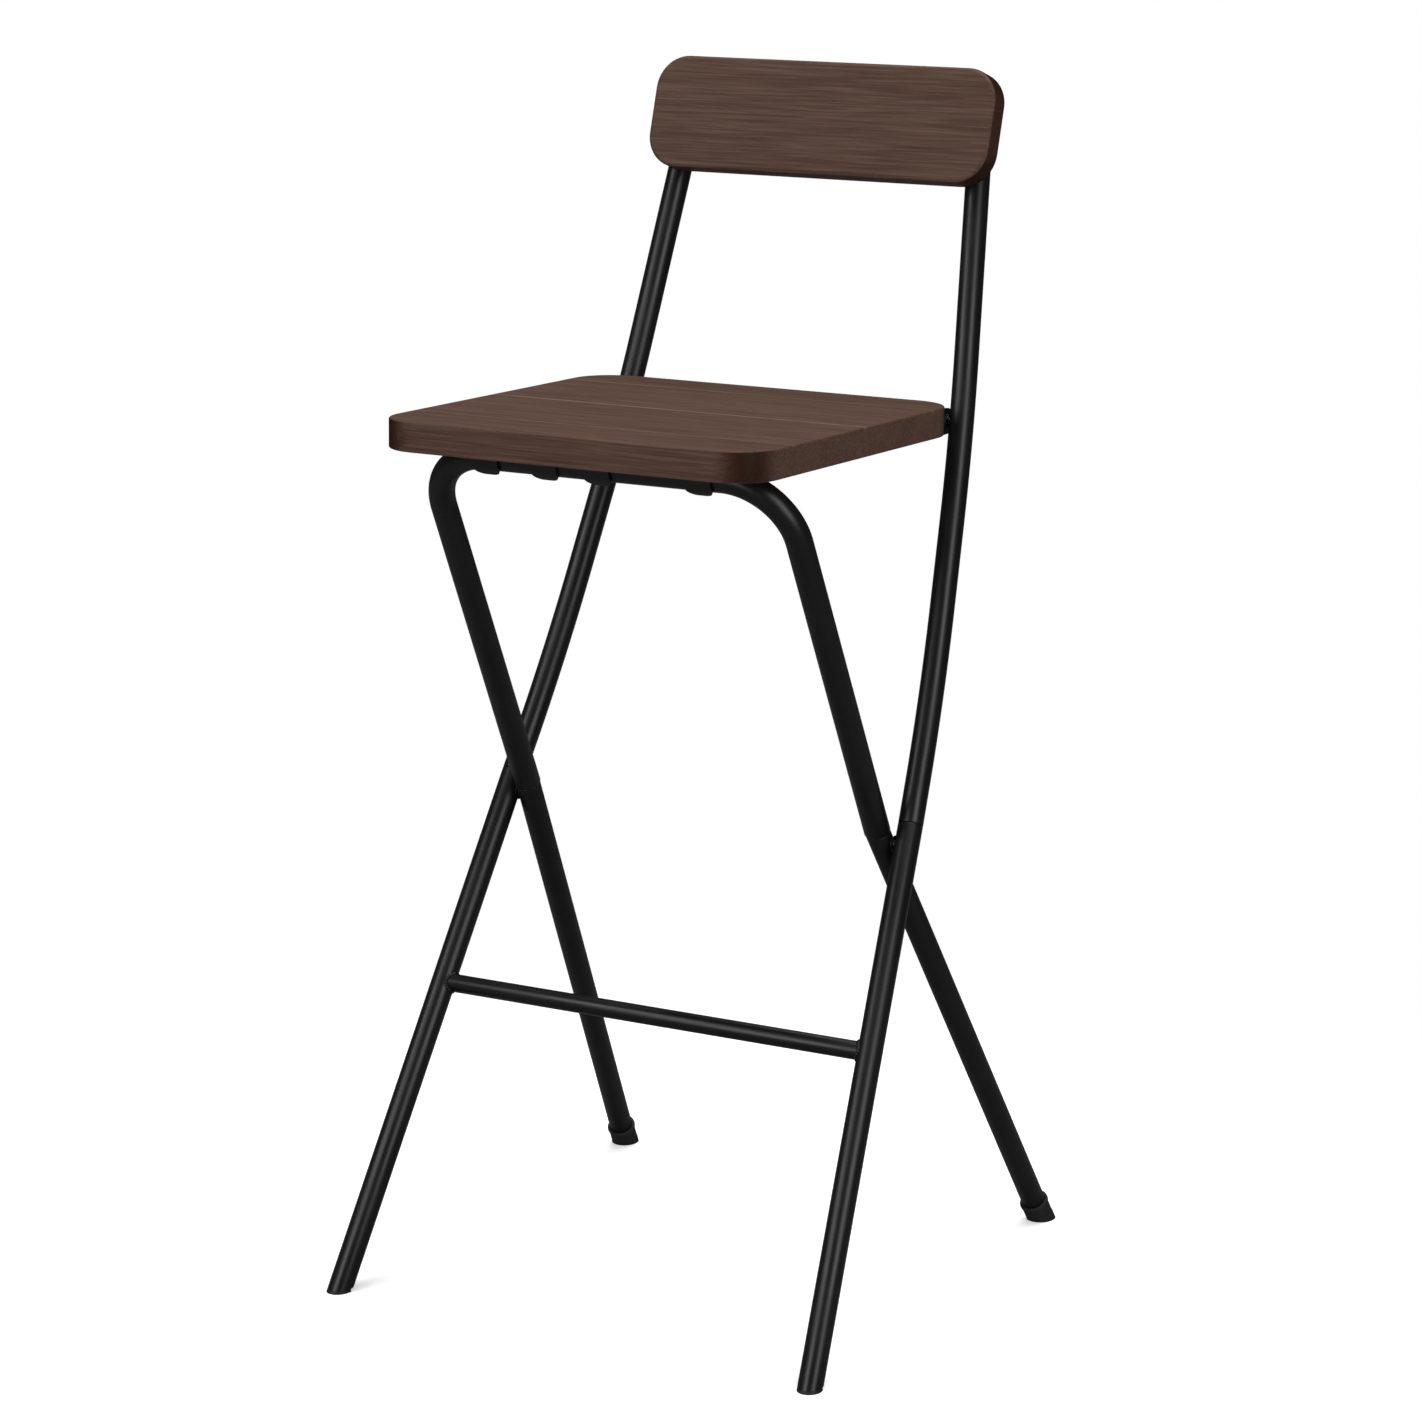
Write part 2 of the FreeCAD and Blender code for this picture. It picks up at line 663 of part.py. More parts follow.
def pan_screw(shank, head, head_height, length):
    """Screw with a domed head, Z pointing out of the head, zero under the head."""
    return turned_solid([
        (0, -length), (shank * 0.35, -length), (shank, -length + shank * 1.6), (shank, 0),
        (head, 0), (head, head_height * 0.45), (head * 0.8, head_height * 0.85),
        (head * 0.45, head_height), (0, head_height),
    ])


def screw_group(label, screw, places):
    copies = []
    for point, outward in places:
        copy = screw.copy()
        copy.Placement = Placement(point, Rotation(Vector(0, 0, 1), outward))
        copies.append(copy)
    set_shape(label, Part.makeCompound(copies))


SCREW = size("screw_radius")
panel_screw_seats = [
    (point + PANEL_NORMAL * (size("leg_radius") + 0.02), PANEL_NORMAL)
    for side in SIDES.values() for point in panel_screw_points(side)]
SCREW_HEAD = size("screw_head")
panel_screw = pan_screw(SCREW, SCREW_HEAD, size("back_screw_head_height"),
                        2 * size("leg_radius") + size("panel_screw_hold"))
screw_group("backrest_screws", panel_screw, panel_screw_seats)


# Pivots: a rivet whose heads sit inside the two crossing legs, and a washer between them

def make_pivot(side_name, side):
    front = mirrored(FRONT_PIVOT, side)
    rear = mirrored(REAR_PIVOT, side)
    outward = Vector(side, 0, 0)
    radius = size("rivet_radius")
    head = size("rivet_head")
    wall = size("leg_bore")
    tall = size("rivet_head_height")
    chamfer = size("rivet_chamfer")
    head_setback = wall - math.sqrt(wall ** 2 - head ** 2) + size("rivet_head_gap")
    front_head = front.x * side - wall + head_setback
    rear_head = rear.x * side + wall - head_setback
    length = front_head - rear_head
    rivet = turned_solid([
        (0, -tall),
        (head - chamfer, -tall),
        (head, chamfer - tall),
        (head, 0),
        (radius, 0),
        (radius, length),
        (head, length),
        (head, length + tall - chamfer),
        (head - chamfer, length + tall),
        (0, length + tall),
    ])
    item = set_shape("pivot_rivet_" + side_name, rivet)
    item.Placement = Placement(Vector(rear_head * side, front.y, front.z),
                               Rotation(Vector(0, 0, 1), outward))
    gap = (front - rear).x * side - 2 * size("leg_radius")
    rim = size("washer_radius")
    half = gap / 2 - rim * math.sin(math.radians(SPLAY)) - size("washer_gap")
    washer = turned_solid([(radius, -half), (rim, -half), (rim, half), (radius, half)])
    ring = set_shape("pivot_washer_" + side_name, washer)
    ring.Placement = Placement((front + rear) / 2, Rotation(Vector(0, 0, 1), outward))
    front_leg = doc.getObject("front_leg_" + side_name)
    rear_leg = doc.getObject("rear_leg_" + side_name)
    depth = size("leg_radius") + 2
    drill(front_leg, "front_rivet_hole", "dims.rivet_radius", depth, front, outward * -1)
    drill(rear_leg, "rear_rivet_hole", "dims.rivet_radius + dims.running_gap", depth, rear,
          outward)


for side_name, side in SIDES.items():
    make_pivot(side_name, side)


# Seat, drawn level in a frame on the hinge axis and then sloped to the rear

SEAT_PLACE = Placement(Vector(0, HINGE_AXIS.y, HINGE_AXIS.z), Rotation(0, 0, -size("seat_slope")))
SLOPE = math.radians(size("seat_slope"))
SEAT_TOP = (size("seat_height") - HINGE_AXIS.z) * math.cos(SLOPE) - (
    HINGE_AXIS.y - size("seat_middle_y")) * math.sin(SLOPE)
SEAT_UNDER = SEAT_TOP - size("seat_thickness")
SEAT_MIDDLE = -(HINGE_AXIS.y - size("seat_middle_y")) * math.cos(SLOPE) - (
    size("seat_height") - HINGE_AXIS.z) * math.sin(SLOPE)
SEAT_REAR = SEAT_MIDDLE + size("seat_depth") / 2
CROSS_AT = SEAT_PLACE.inverse().multVec(CROSS_TUBE)
BED_RADIUS = size("hoop_radius") + size("bed_gap")
CLIP_CENTRES = {"far_left": -102.0, "left": -47.0, "middle": 2.0, "right": 94.0}


def make_seat_board(label):
    body = new_body(label, SEAT_PLACE)
    outline = new_sketch(body, label + "_outline", "XY_Plane", raised(SEAT_UNDER))
    half = "dims.seat_width / 2"
    front = "%.4f - dims.seat_depth / 2" % SEAT_MIDDLE
    rear = "%.4f + dims.seat_depth / 2" % SEAT_MIDDLE
    add_outline(outline, [("-" + half, front), (half, front), (half, rear), ("-" + half, rear)])
    pad(body, outline, "dims.seat_thickness")
    round_edges(body, label + "_corners", "dims.seat_corner", lambda edge: along_axis(edge, "z"))
    round_edges(body, label + "_top_round", "dims.seat_edge_round",
                lambda edge: lies_at(edge, "z", SEAT_TOP))
    round_edges(body, label + "_under_round", "dims.seat_edge_round",
                lambda edge: lies_at(edge, "z", SEAT_UNDER))
    bed = new_sketch(body, label + "_tube_bed", "YZ_Plane")
    add_circle(bed, "dims.hoop_radius + dims.bed_gap", "%.4f" % CROSS_AT.y, "%.4f" % CROSS_AT.z)
    doc.recompute()
    # the bed opens to the rear along the line on which the tube leaves it
    leave = math.radians(size("clip_lip_angle"))
    inside = Vector(0, math.sin(leave), math.cos(leave)) * BED_RADIUS
    away = Vector(0, math.cos(leave), -math.sin(leave)) * (3 * BED_RADIUS)
    exit_ramp = new_sketch(body, label + "_tube_exit", "YZ_Plane")
    add_outline(exit_ramp, [("%.4f" % (CROSS_AT.y + corner.y), "%.4f" % (CROSS_AT.z + corner.z))
                            for corner in (Vector(), away, away + inside, inside)])
    for sketch in (bed, exit_ramp):
        groove = body.newObject("PartDesign::Pocket", sketch.Name + "_groove")
        groove.Profile = sketch
        groove.Midplane = True
        groove.setExpression("Length", "2 * dims.bed_half_length")
        doc.recompute()
    for index, (point, inward) in enumerate(seat_screw_places()):
        drill(body, "%s_pilot_%d" % (label, index), "dims.screw_radius", 20,
              SEAT_PLACE.multVec(point + inward * 4),
              SEAT_PLACE.Rotation.multVec(inward * -1))


# Saddle clips that hook round the front of the cross tube and let it leave to the rear

def clip_profile():
    """Half-hook section around the cross tube: Y across, Z up, zero on the tube's centre."""
    inner = BED_RADIUS
    outer = inner + size("clip_thickness")
    ceiling = SEAT_UNDER - CROSS_AT.z
    leave = math.radians(-size("clip_lip_angle"))
    away = Vector(0, math.cos(leave), math.sin(leave))
    below = Vector(0, math.sin(leave), -math.cos(leave))
    start = Vector(0, -math.sqrt(inner ** 2 - ceiling ** 2), ceiling)
    hook_end = below * inner
    lip_inner = hook_end + away * size("clip_lip")
    lip_outer = below * outer + away * size("clip_lip")
    shelf = ceiling - size("clip_thickness")
    outer_top = Vector(0, -math.sqrt(outer ** 2 - shelf ** 2), shelf)
    edge = -outer - size("clip_foot")
    half_turn = Vector(0, -1, 0)
    return Part.Wire([
        Part.Arc(start, half_turn * inner, hook_end).toShape(),
        Part.makeLine(hook_end, lip_inner),
        Part.Arc(lip_inner, (lip_inner + lip_outer) / 2 + away * (size("clip_thickness") / 2),
                 lip_outer).toShape(),
        Part.makeLine(lip_outer, below * outer),
        Part.Arc(below * outer, half_turn * outer, outer_top).toShape(),
        Part.makeLine(outer_top, Vector(0, edge, shelf)),
        Part.makeLine(Vector(0, edge, shelf), Vector(0, edge, ceiling)),
        Part.makeLine(Vector(0, edge, ceiling), start),
    ])


def clip_front(width):
    """Block whose lower corners are rounded, so that the hook narrows towards its lip."""
    corner = size("clip_corner")
    tall = 40
    depth = BED_RADIUS + size("clip_thickness") + size("clip_foot") + 10
    lowest = -BED_RADIUS - size("clip_thickness") - corner
    round_x = width / 2 - corner
    round_z = lowest + size("clip_corner_height")
    block = Part.makeBox(width, 2 * depth, tall, Vector(-width / 2, -depth, round_z))
    lower = Part.makeBox(2 * round_x, 2 * depth, tall, Vector(-round_x, -depth, lowest - 1))
    block = block.fuse(lower)
    for side in SIDES.values():
        middle = Vector(side * round_x, -depth, round_z)
        block = block.fuse(Part.makeCylinder(corner, 2 * depth, middle, Vector(0, 1, 0)))
    return block


CLIP_SCREW_Y = CROSS_AT.y - BED_RADIUS - size("clip_thickness") - size("clip_foot") * 0.55
EAR_INNER_X = TUBE_FACE_X - size("ear_gap") - size("ear_thickness")
FLANGE_MIDDLE_X = EAR_INNER_X - size("flange_width") * 0.55


def clip_screw_places():
    shelf = SEAT_UNDER - size("clip_thickness")
    return [(Vector(middle, CLIP_SCREW_Y, shelf), Vector(0, 0, -1))
            for middle in CLIP_CENTRES.values()]


def bracket_screw_places():
    shelf = SEAT_UNDER - size("ear_thickness")
    reach = size("ear_reach")
    start = size("flange_start")
    inset = size("flange_screw_inset")
    rows = (-start - inset, -(start + reach) / 2, -reach + inset)
    return [(Vector(side * FLANGE_MIDDLE_X, row, shelf), Vector(0, 0, -1))
            for side in SIDES.values() for row in rows]


def seat_screw_places():
    return clip_screw_places() + bracket_screw_places()


def make_clip(name, middle):
    width = size("clip_width")
    clip = Part.Face(clip_profile()).extrude(Vector(width, 0, 0))
    clip.translate(Vector(-width / 2, 0, 0))
    clip = clip.common(clip_front(width))
    clip.translate(Vector(middle, CROSS_AT.y, CROSS_AT.z))
    hole = Part.makeCylinder(SCREW + size("screw_play"), 10,
                             Vector(middle, CLIP_SCREW_Y, SEAT_UNDER - 7))
    item = set_shape("tube_clip_" + name, clip.cut(hole))
    item.Placement = SEAT_PLACE


# Hinge brackets: a pressed plate with an ear beside the tube and a flange under the seat

def make_bracket(label, side):
    body = new_body(label, SEAT_PLACE)
    ear_start = EAR_INNER_X if side > 0 else -EAR_INNER_X - size("ear_thickness")
    ear = new_sketch(body, label + "_ear", "YZ_Plane", raised(ear_start))
    radius, rib = size("ear_radius"), size("ear_rib")
    rear = SEAT_REAR + size("ear_overhang")
    under = SEAT_UNDER
    reach = size("ear_reach")
    low = under - rib
    points = [
        Vector(0, radius, 0),
        Vector(rear, radius, 0),
        Vector(rear, under, 0),
        Vector(-reach, under, 0),
        Vector(-reach, low + 2, 0),
        Vector(-reach + 4, low, 0),
        Vector(-radius * 1.6, low, 0),
        Vector(0, -radius, 0),
    ]
    for start, end in zip(points, points[1:]):
        ear.addGeometry(Part.LineSegment(start, end))
    ear.addGeometry(Part.ArcOfCircle(Part.Circle(Vector(0, 0, 0), Vector(0, 0, 1), radius),
                                     -math.pi / 2, math.pi / 2))
    pad(body, ear, "dims.ear_thickness")
    flange_at = raised(under - size("ear_thickness"))
    flange = new_sketch(body, label + "_flange", "XY_Plane", flange_at)
    near = EAR_INNER_X + 1
    far = EAR_INNER_X - size("flange_width")
    start = "-dims.flange_start"
    end = "-dims.ear_reach"
    add_outline(flange, [("%.4f" % (side * near), end), ("%.4f" % (side * near), start),
                         ("%.4f" % (side * far), start), ("%.4f" % (side * far), end)])
    pad(body, flange, "dims.ear_thickness")
    round_edges(body, label + "_flange_corners", "dims.flange_corner",
                lambda edge: along_axis(edge, "z") and abs(edge.CenterOfMass.x) < abs(far) + 0.1)
    axis_point = HINGE_AT[side] - Vector(side * 40, 0, 0)
    drill(body, label + "_pin_hole", "dims.rivet_radius + dims.running_gap", 40,
          axis_point, Vector(side, 0, 0))
    for index, (point, outward) in enumerate(bracket_screw_places()):
        if point.x * side > 0:
            drill(body, "%s_hole_%d" % (label, index), "dims.screw_radius + dims.screw_play", 12,
                  SEAT_PLACE.multVec(point + outward * 4),
                  SEAT_PLACE.Rotation.multVec(outward * -1))


# Hinge hardware: rivet nut in the tube's inner wall, shoulder screw, washer

def make_hinge_hardware(side_name, side):
    inward = Vector(-side, 0, 0)
    radius = size("rivet_radius")
    at = HINGE_AT[side]
    face = Vector(side * TUBE_FACE_X, at.y, at.z)
    turn = Rotation(Vector(0, 0, 1), inward)
    bore = size("nut_bore")
    sink = size("nut_sink")
    seat_at = sink + size("nut_flange")
    nut_end = -size("nut_length")
    nut_rim = radius + size("nut_flange_reach")
    nut = turned_solid([
        (bore, nut_end),
        (radius, nut_end),
        (radius, sink),
        (nut_rim, sink),
        (nut_rim, seat_at),
        (bore, seat_at),
    ])
    item = set_shape("hinge_rivet_nut_" + side_name, nut)
    item.Placement = Placement(face, turn)
    ear_outer = size("ear_gap")
    head = size("shoulder_head")
    head_start = ear_outer + size("ear_thickness") + 0.2
    head_end = head_start + size("shoulder_head_height")
    screw_end = -size("shoulder_length")
    screw = turned_solid([
        (0, screw_end),
        (bore, screw_end),
        (bore, seat_at),
        (radius, seat_at),
        (radius, head_start),
        (head, head_start),
        (head, head_start + 1.4),
        (head - 1.8, head_end - 0.4),
        (0, head_end),
    ])
    item = set_shape("hinge_screw_" + side_name, screw)
    item.Placement = Placement(face, turn)
    rim = size("washer_radius")
    washer_end = ear_outer - 0.15
    washer = turned_solid([
        (radius, seat_at), (rim, seat_at), (rim, washer_end), (radius, washer_end)])
    item = set_shape("hinge_washer_" + side_name, washer)
    item.Placement = Placement(face, turn)


make_seat_board("seat_board")
for name, middle in CLIP_CENTRES.items():
    make_clip(name, middle)
for side_name, side in SIDES.items():
    make_bracket("hinge_bracket_" + side_name, side)
    make_hinge_hardware(side_name, side)
seat_screw = pan_screw(SCREW, SCREW_HEAD, size("seat_screw_head_height"),
                       size("seat_screw_length"))
for label, places in (("clip_screws", clip_screw_places()),
                      ("bracket_screws", bracket_screw_places())):
    screw_group(label, seat_screw, [
        (SEAT_PLACE.multVec(point), SEAT_PLACE.Rotation.multVec(outward))
        for point, outward in places])


# Check every object, then write one file for each sub-part

doc.recompute()
HELPERS = ("footrest_stock", "footrest_hollow", "footrest_cope", "footrest_cuts")
subparts = []
for item in doc.Objects:
    if "Invalid" in item.State or "Error" in item.State:
        raise RuntimeError("%s failed: %s" % (item.Name, item.State))
    if item.isDerivedFrom("Part::Feature") and item.getParentGeoFeatureGroup() is None:
        if not item.Name.startswith(HELPERS):
            subparts.append(item)
for item in subparts:
    if item.Shape.isNull() or not item.Shape.isValid():
        raise RuntimeError(item.Label + " has no valid shape")
    item.Shape.exportStep("parts/%s.step" % item.Label)
    print("%s: %d solids, %.1f mm3" % (item.Label, len(item.Shape.Solids), item.Shape.Volume))
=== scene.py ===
import json
import math

import bmesh
import bpy
from bpy.props import FloatProperty, FloatVectorProperty, IntProperty, PointerProperty
from mathutils import Matrix, Vector


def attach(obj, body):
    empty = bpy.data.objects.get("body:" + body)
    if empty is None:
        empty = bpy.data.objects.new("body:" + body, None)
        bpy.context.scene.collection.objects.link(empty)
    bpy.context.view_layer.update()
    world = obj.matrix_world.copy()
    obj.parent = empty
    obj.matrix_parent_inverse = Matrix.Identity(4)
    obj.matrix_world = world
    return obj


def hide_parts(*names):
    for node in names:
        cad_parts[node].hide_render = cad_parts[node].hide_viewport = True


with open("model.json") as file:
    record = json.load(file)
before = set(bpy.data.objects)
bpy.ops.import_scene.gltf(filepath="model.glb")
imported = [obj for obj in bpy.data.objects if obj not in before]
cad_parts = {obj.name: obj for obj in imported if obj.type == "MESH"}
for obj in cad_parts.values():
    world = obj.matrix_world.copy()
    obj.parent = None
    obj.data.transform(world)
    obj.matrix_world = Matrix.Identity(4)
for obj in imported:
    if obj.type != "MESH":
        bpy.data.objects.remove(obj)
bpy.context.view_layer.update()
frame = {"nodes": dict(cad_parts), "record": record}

bl_info = {
    "name": "Folding bar stool",
    "version": (1, 0, 0),
    "blender": (4, 5, 0),
    "location": "3D View > Sidebar > Stool",
    "description": "Dresses the frame, seat and backrest of a folding bar stool",
    "category": "Object",
}


# Sizes and colours that a user may change

def length(label, description, default):
    return FloatProperty(name=label, description=description, default=default, unit="LENGTH")


def colour(label, description, default):
    return FloatVectorProperty(name=label, description=description, default=default, size=3,
                               subtype="COLOR")


class StoolSizes(bpy.types.PropertyGroup):
    leg_radius: length("Leg radius", "Outer radius of the legs and back tubes", 0.0104)
    hoop_radius: length("Hoop radius", "Outer radius of the tube that carries the seat", 0.0110)
    tube_wall: length("Tube wall", "Wall thickness of every tube", 0.0015)
    tube_rim: length("Tube rim", "Rounding of a sawn tube end", 0.0004)
    hoop_rim: length("Hoop rim", "Rounding of the hoop's two ends", 0.0009)
    footrest_radius: length("Footrest radius", "Outer radius of the footrest bar", 0.0078)
    hoop_bend: length("Hoop bend", "Bend radius at the hoop's two upper corners", 0.056)
    back_bend: length("Back tube bend", "Radius of the long bends in the back tubes", 1.4)
    weld_bead: length("Weld bead", "Thickness of the bead round each end of the footrest", 0.0016)
    tube_sides: IntProperty(
        name="Tube sides", description="Number of faces around a tube", default=48, min=12)
    board_edge: length("Board edge", "Rounding of the seat board's long edges", 0.0016)
    panel_edge: length("Panel edge", "Rounding of the backrest's front edge", 0.0035)
    panel_back_edge: length("Panel back edge", "Rounding of the backrest's back edge", 0.0012)
    pressed_edge: length("Pressed edge", "Rounding of the edges of clips and brackets", 0.0008)
    washer_edge: length("Washer edge", "Rounding of the washers' edges", 0.0001)
    screw_head: length("Screw head", "Radius of a wood screw's head", 0.0042)
    hinge_head: length("Hinge screw head", "Radius of a hinge screw's head", 0.0070)


class StoolColours(bpy.types.PropertyGroup):
    coat: colour("Powder coat", "Colour of the coated steel", (0.0021, 0.0021, 0.0022))
    dust: colour("Rubbed dust", "Colour of the faint dust in the coat", (0.022, 0.0215, 0.021))
    wood: colour("Wood", "Main colour of the stained wood", (0.061, 0.0335, 0.0235))
    wood_dark: colour("Wood pores", "Colour of the pores and dark fibres", (0.030, 0.0135, 0.0080))
    wood_light: colour("Wood light fibre", "Colour of the light fibres", (0.095, 0.059, 0.045))
    # painted shade laid on the boards' rounded corners, and a darker tone on their side faces
    wood_corner_shade: colour("Wood corner shade", "Colour of the painted shade on the rounded corners, also laid on the side faces",
                        (0.016, 0.0052, 0.0020))
    wood_joint: colour("Wood joint", "Colour of the pale lines between the seat's boards",
                       (0.150, 0.100, 0.078))
    rubber: colour("Rubber", "Colour of the foot caps and plugs", (0.009, 0.009, 0.009))
    washer: colour("Washer", "Colour of the plastic washers", (0.008, 0.008, 0.008))
    screw: colour("Screw", "Colour of the blackened screws", (0.005, 0.005, 0.0055))
    zinc: colour("Zinc", "Colour of the black zinc on rivets and nuts", (0.09, 0.09, 0.095))


# Layout of the stool, in metres, on the same lines as the construction

SIDES = {"left": -1, "right": 1}
UP = Vector((0.0, 0.0, 1.0))
FRONT_FOOT = Vector((0.2247, -0.2282, 0.0))
FRONT_PIVOT = Vector((0.1927, -0.0042, 0.3901))
FRONT_JOINT_RISE = 0.018
FRONT_JOINT = FRONT_PIVOT + (FRONT_PIVOT - FRONT_FOOT).normalized() * FRONT_JOINT_RISE
REAR_FOOT = Vector((0.2131, 0.2258, 0.0))
REAR_PIVOT = Vector((0.1697, -0.0042, 0.3901))
REAR_JOINT_RISE = 0.012
REAR_JOINT = REAR_PIVOT + (REAR_PIVOT - REAR_FOOT).normalized() * REAR_JOINT_RISE
JOINT_SEAM = 0.0005
LEG_TAIL = 0.02
SPIGOT_RADIUS = 0.0086
SPIGOT_LOW = -0.0025
SPIGOT_HIGH = 0.012
FOOT_RIM = 0.0025
HOOP_LEAN = math.radians(26.5)
HOOP_CORNER = (0.1645, 0.3485)
UPPER_SPLAY = math.radians(5.4)
BACK_RUNS = (0.032, 0.066, 0.208)
BACK_BENDS = (math.radians(6.5), math.radians(6.0))
FOOTREST_HEIGHT = 0.2386
FOOTREST_INSET = 0.6
BEAD_STEPS = 96
BEAD_RIPPLE = 0.16
BEAD_RIPPLES = 22.0

SEAT_SLOPE = math.radians(1.5)
SEAT_MIDDLE = Vector((0.0, -0.0559, 0.7423))
SEAT_SIZE = (0.350, 0.353, 0.0245)
SEAT_CORNER = 0.038
PANEL_SIZE = (0.327, 0.098, 0.020)
PANEL_CORNER = 0.029
PANEL_DROP = 0.020
PANEL_SETBACK = 0.0099
GROOVE_GAP = 0.00005
GROOVE_LENGTH = 0.3
BOARD_MARGIN = 0.0006
BED_LENGTH = 0.268
BED_GAP = 0.0006
BED_EXIT = math.radians(33.0)

CAP_SOLE = 0.004
CAP_HEIGHT = 0.023
CAP_RADIUS = 0.0122
CAP_WALL = CAP_RADIUS - 0.0003
CAP_GROOVES = (0.0085, 0.0115, 0.0145)
FOOT_DEPTH = -0.02
PLUG_GAP = 0.0001
PLUG_HEIGHT = 0.024
DOME_DEPTH = -0.008
DOME_HEIGHT = 0.0028

CLIP_CENTRES = {"far_left": -0.102, "left": -0.047, "middle": 0.002, "right": 0.094}
CLIP_WIDTH = 0.024
CLIP_THICKNESS = 0.002
CLIP_FOOT = 0.017
CLIP_LIP = 0.0035
CLIP_CORNER = 0.0085

# Screws: height of the head, radius and length of the shank
PANEL_SCREW = (0.0026, 0.0021, 0.033)
SEAT_SCREW = (0.0024, 0.0021, 0.014)
HINGE_SCREW = (0.0028, 0.0039, 0.0052)
HEAD_SHARE = 0.88
SOCKET_SHARE = 0.44

PORE_DEPTH = 0.00005
PLATING_DEPTH = 0.00002

# Coats: colour, size of the peel, roughness, dust, depth of the peel, specular
COATS = {
    "frame_black": ("coat", 0.0007, 0.34, 0.12, 0.000004, 0.44),
    "bracket_black": ("coat", 0.0006, 0.40, 0.15, 0.000006, 0.40),
    "black_rubber": ("rubber", 0.0004, 0.62, 0.50, 0.00002, 0.25),
    "black_plastic": ("rubber", 0.00035, 0.50, 0.30, 0.00001, 0.25),
    "washer_plastic": ("washer", 0.0003, 0.45, 0.20, 0.000008, 0.30),
    "black_screw": ("screw", 0.0003, 0.36, 0.20, 0.000008, 0.30),
}

# Studio lamps: place, point aimed at, power in watts, width and height
LAMPS = {
    "key": ((-2.2, -2.6, 2.4), (0.0, 0.0, 0.5), 30.0, 1.2, 1.8),
    "fill": ((2.8, -1.4, 1.5), (0.0, 0.0, 0.5), 42.0, 1.4, 2.4),
    "top": ((0.0, 0.4, 3.4), (0.0, 0.0, 0.4), 128.0, 2.6, 2.6),
    "front": ((-0.9, -3.5, 1.4), (0.0, 0.0, 0.55), 36.0, 1.6, 1.8),
}
FLOOR_REACH = 6.0
FLOOR_TONE = (0.8, 0.8, 0.8)
FLOOR_IN_GLOSS = (0.12, 0.12, 0.12)
FLOOR_GLOW = (0.36, 0.36, 0.36)
NO_GLOW = (0.0, 0.0, 0.0)
BACKDROP = (1.0, 1.0, 1.0)
ROOM_TONE = (0.30, 0.30, 0.30)
ROOM_IN_GLOSS = (0.06, 0.06, 0.06)
CAMERA_PLACE = (1.7302, -3.0539, 1.2951)
CAMERA_TURN = (math.radians(90) - 0.228, 0.0, 0.514)
CAMERA_LENS = 108.92


def mirrored(point, side):
    return Vector((point.x * side, point.y, point.z))


def back_frame(side):
    """Matrix that places a back tube's plane, from the joint at which it starts."""
    run = FRONT_PIVOT - FRONT_FOOT
    lean = math.atan2(run.y, math.hypot(run.x, run.z))
    turn = Matrix.Rotation(-UPPER_SPLAY * side, 4, "Y") @ Matrix.Rotation(-lean, 4, "X")
    return Matrix.Translation(mirrored(FRONT_JOINT, side)) @ turn


def back_run(side):
    """Direction in which a back tube leaves its joint."""
    return back_frame(side).to_3x3() @ UP


def back_corners(side, bend_radius):
    """A back tube's start, its two bends' corners and its end, and the way it ends."""
    place = back_frame(side)
    point = Vector()
    turned = 0.0
    corners = [point]
    setback_before = 0.0
    for run, bend in zip(BACK_RUNS, BACK_BENDS + (0.0,)):
        setback = bend_radius * math.tan(bend / 2)
        heading = Vector((0.0, -math.sin(turned), math.cos(turned)))
        point = point + heading * (setback_before + run + setback)
        corners.append(point)
        turned += bend
        setback_before = setback
    return [place @ corner for corner in corners], place.to_3x3() @ heading


def hoop_place():
    start = Vector((0.0, REAR_JOINT.y, REAR_JOINT.z))
    return Matrix.Translation(start) @ Matrix.Rotation(HOOP_LEAN, 4, "X")


def hoop_run(side):
    """Direction of the hoop's side tube, from its joint up to the bend."""
    width, rise = HOOP_CORNER
    run = Vector(((width - REAR_JOINT.x) * side, 0.0, rise))
    return (hoop_place().to_3x3() @ run).normalized()


def hoop_cross():
    """Middle of the hoop's cross tube."""
    return hoop_place() @ Vector((0.0, 0.0, HOOP_CORNER[1]))


def panel_place(bend_radius):
    """Frame on the back of the backrest: X across, Y to the rear, Z up the panel."""
    corners, direction = back_corners(1, bend_radius)
    axis = corners[-1] - direction * PANEL_DROP
    tilt = math.atan2(direction.y, direction.z)
    normal = Vector((0.0, math.cos(tilt), -math.sin(tilt)))
    back = Vector((0.0, axis.y, axis.z)) - normal * PANEL_SETBACK
    return Matrix.Translation(back) @ Matrix.Rotation(-tilt, 4, "X")


def seat_place():
    return Matrix.Translation(SEAT_MIDDLE) @ Matrix.Rotation(-SEAT_SLOPE, 4, "X")


# Meshes and objects

def linked(name, data):
    """New object, put in the scene."""
    obj = bpy.data.objects.new(name, data)
    bpy.context.scene.collection.objects.link(obj)
    return obj


def add_piece(name, mesh, slot, body, replaced=()):
    obj = linked(name, mesh)
    obj.data.materials.clear()
    obj.data.materials.append(material(slot))
    if replaced:
        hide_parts(*replaced)
    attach(obj, body)
    return obj


def evaluated_mesh(obj, name):
    """Plain mesh of an object with its modifiers worked in."""
    graph = bpy.context.evaluated_depsgraph_get()
    mesh = bpy.data.meshes.new_from_object(obj.evaluated_get(graph), depsgraph=graph)
    mesh.name = name
    return mesh


def finished(work, name, angle=None):
    """Mesh of a bmesh that is no longer needed, shaded smooth up to an angle."""
    mesh = bpy.data.meshes.new(name)
    work.to_mesh(mesh)
    work.free()
    if angle is not None:
        set_smooth(mesh, angle)
    return mesh


def set_smooth(mesh, angle):
    mesh.polygons.foreach_set("use_smooth", [True] * len(mesh.polygons))
    mesh.set_sharp_from_angle(angle=math.radians(angle))


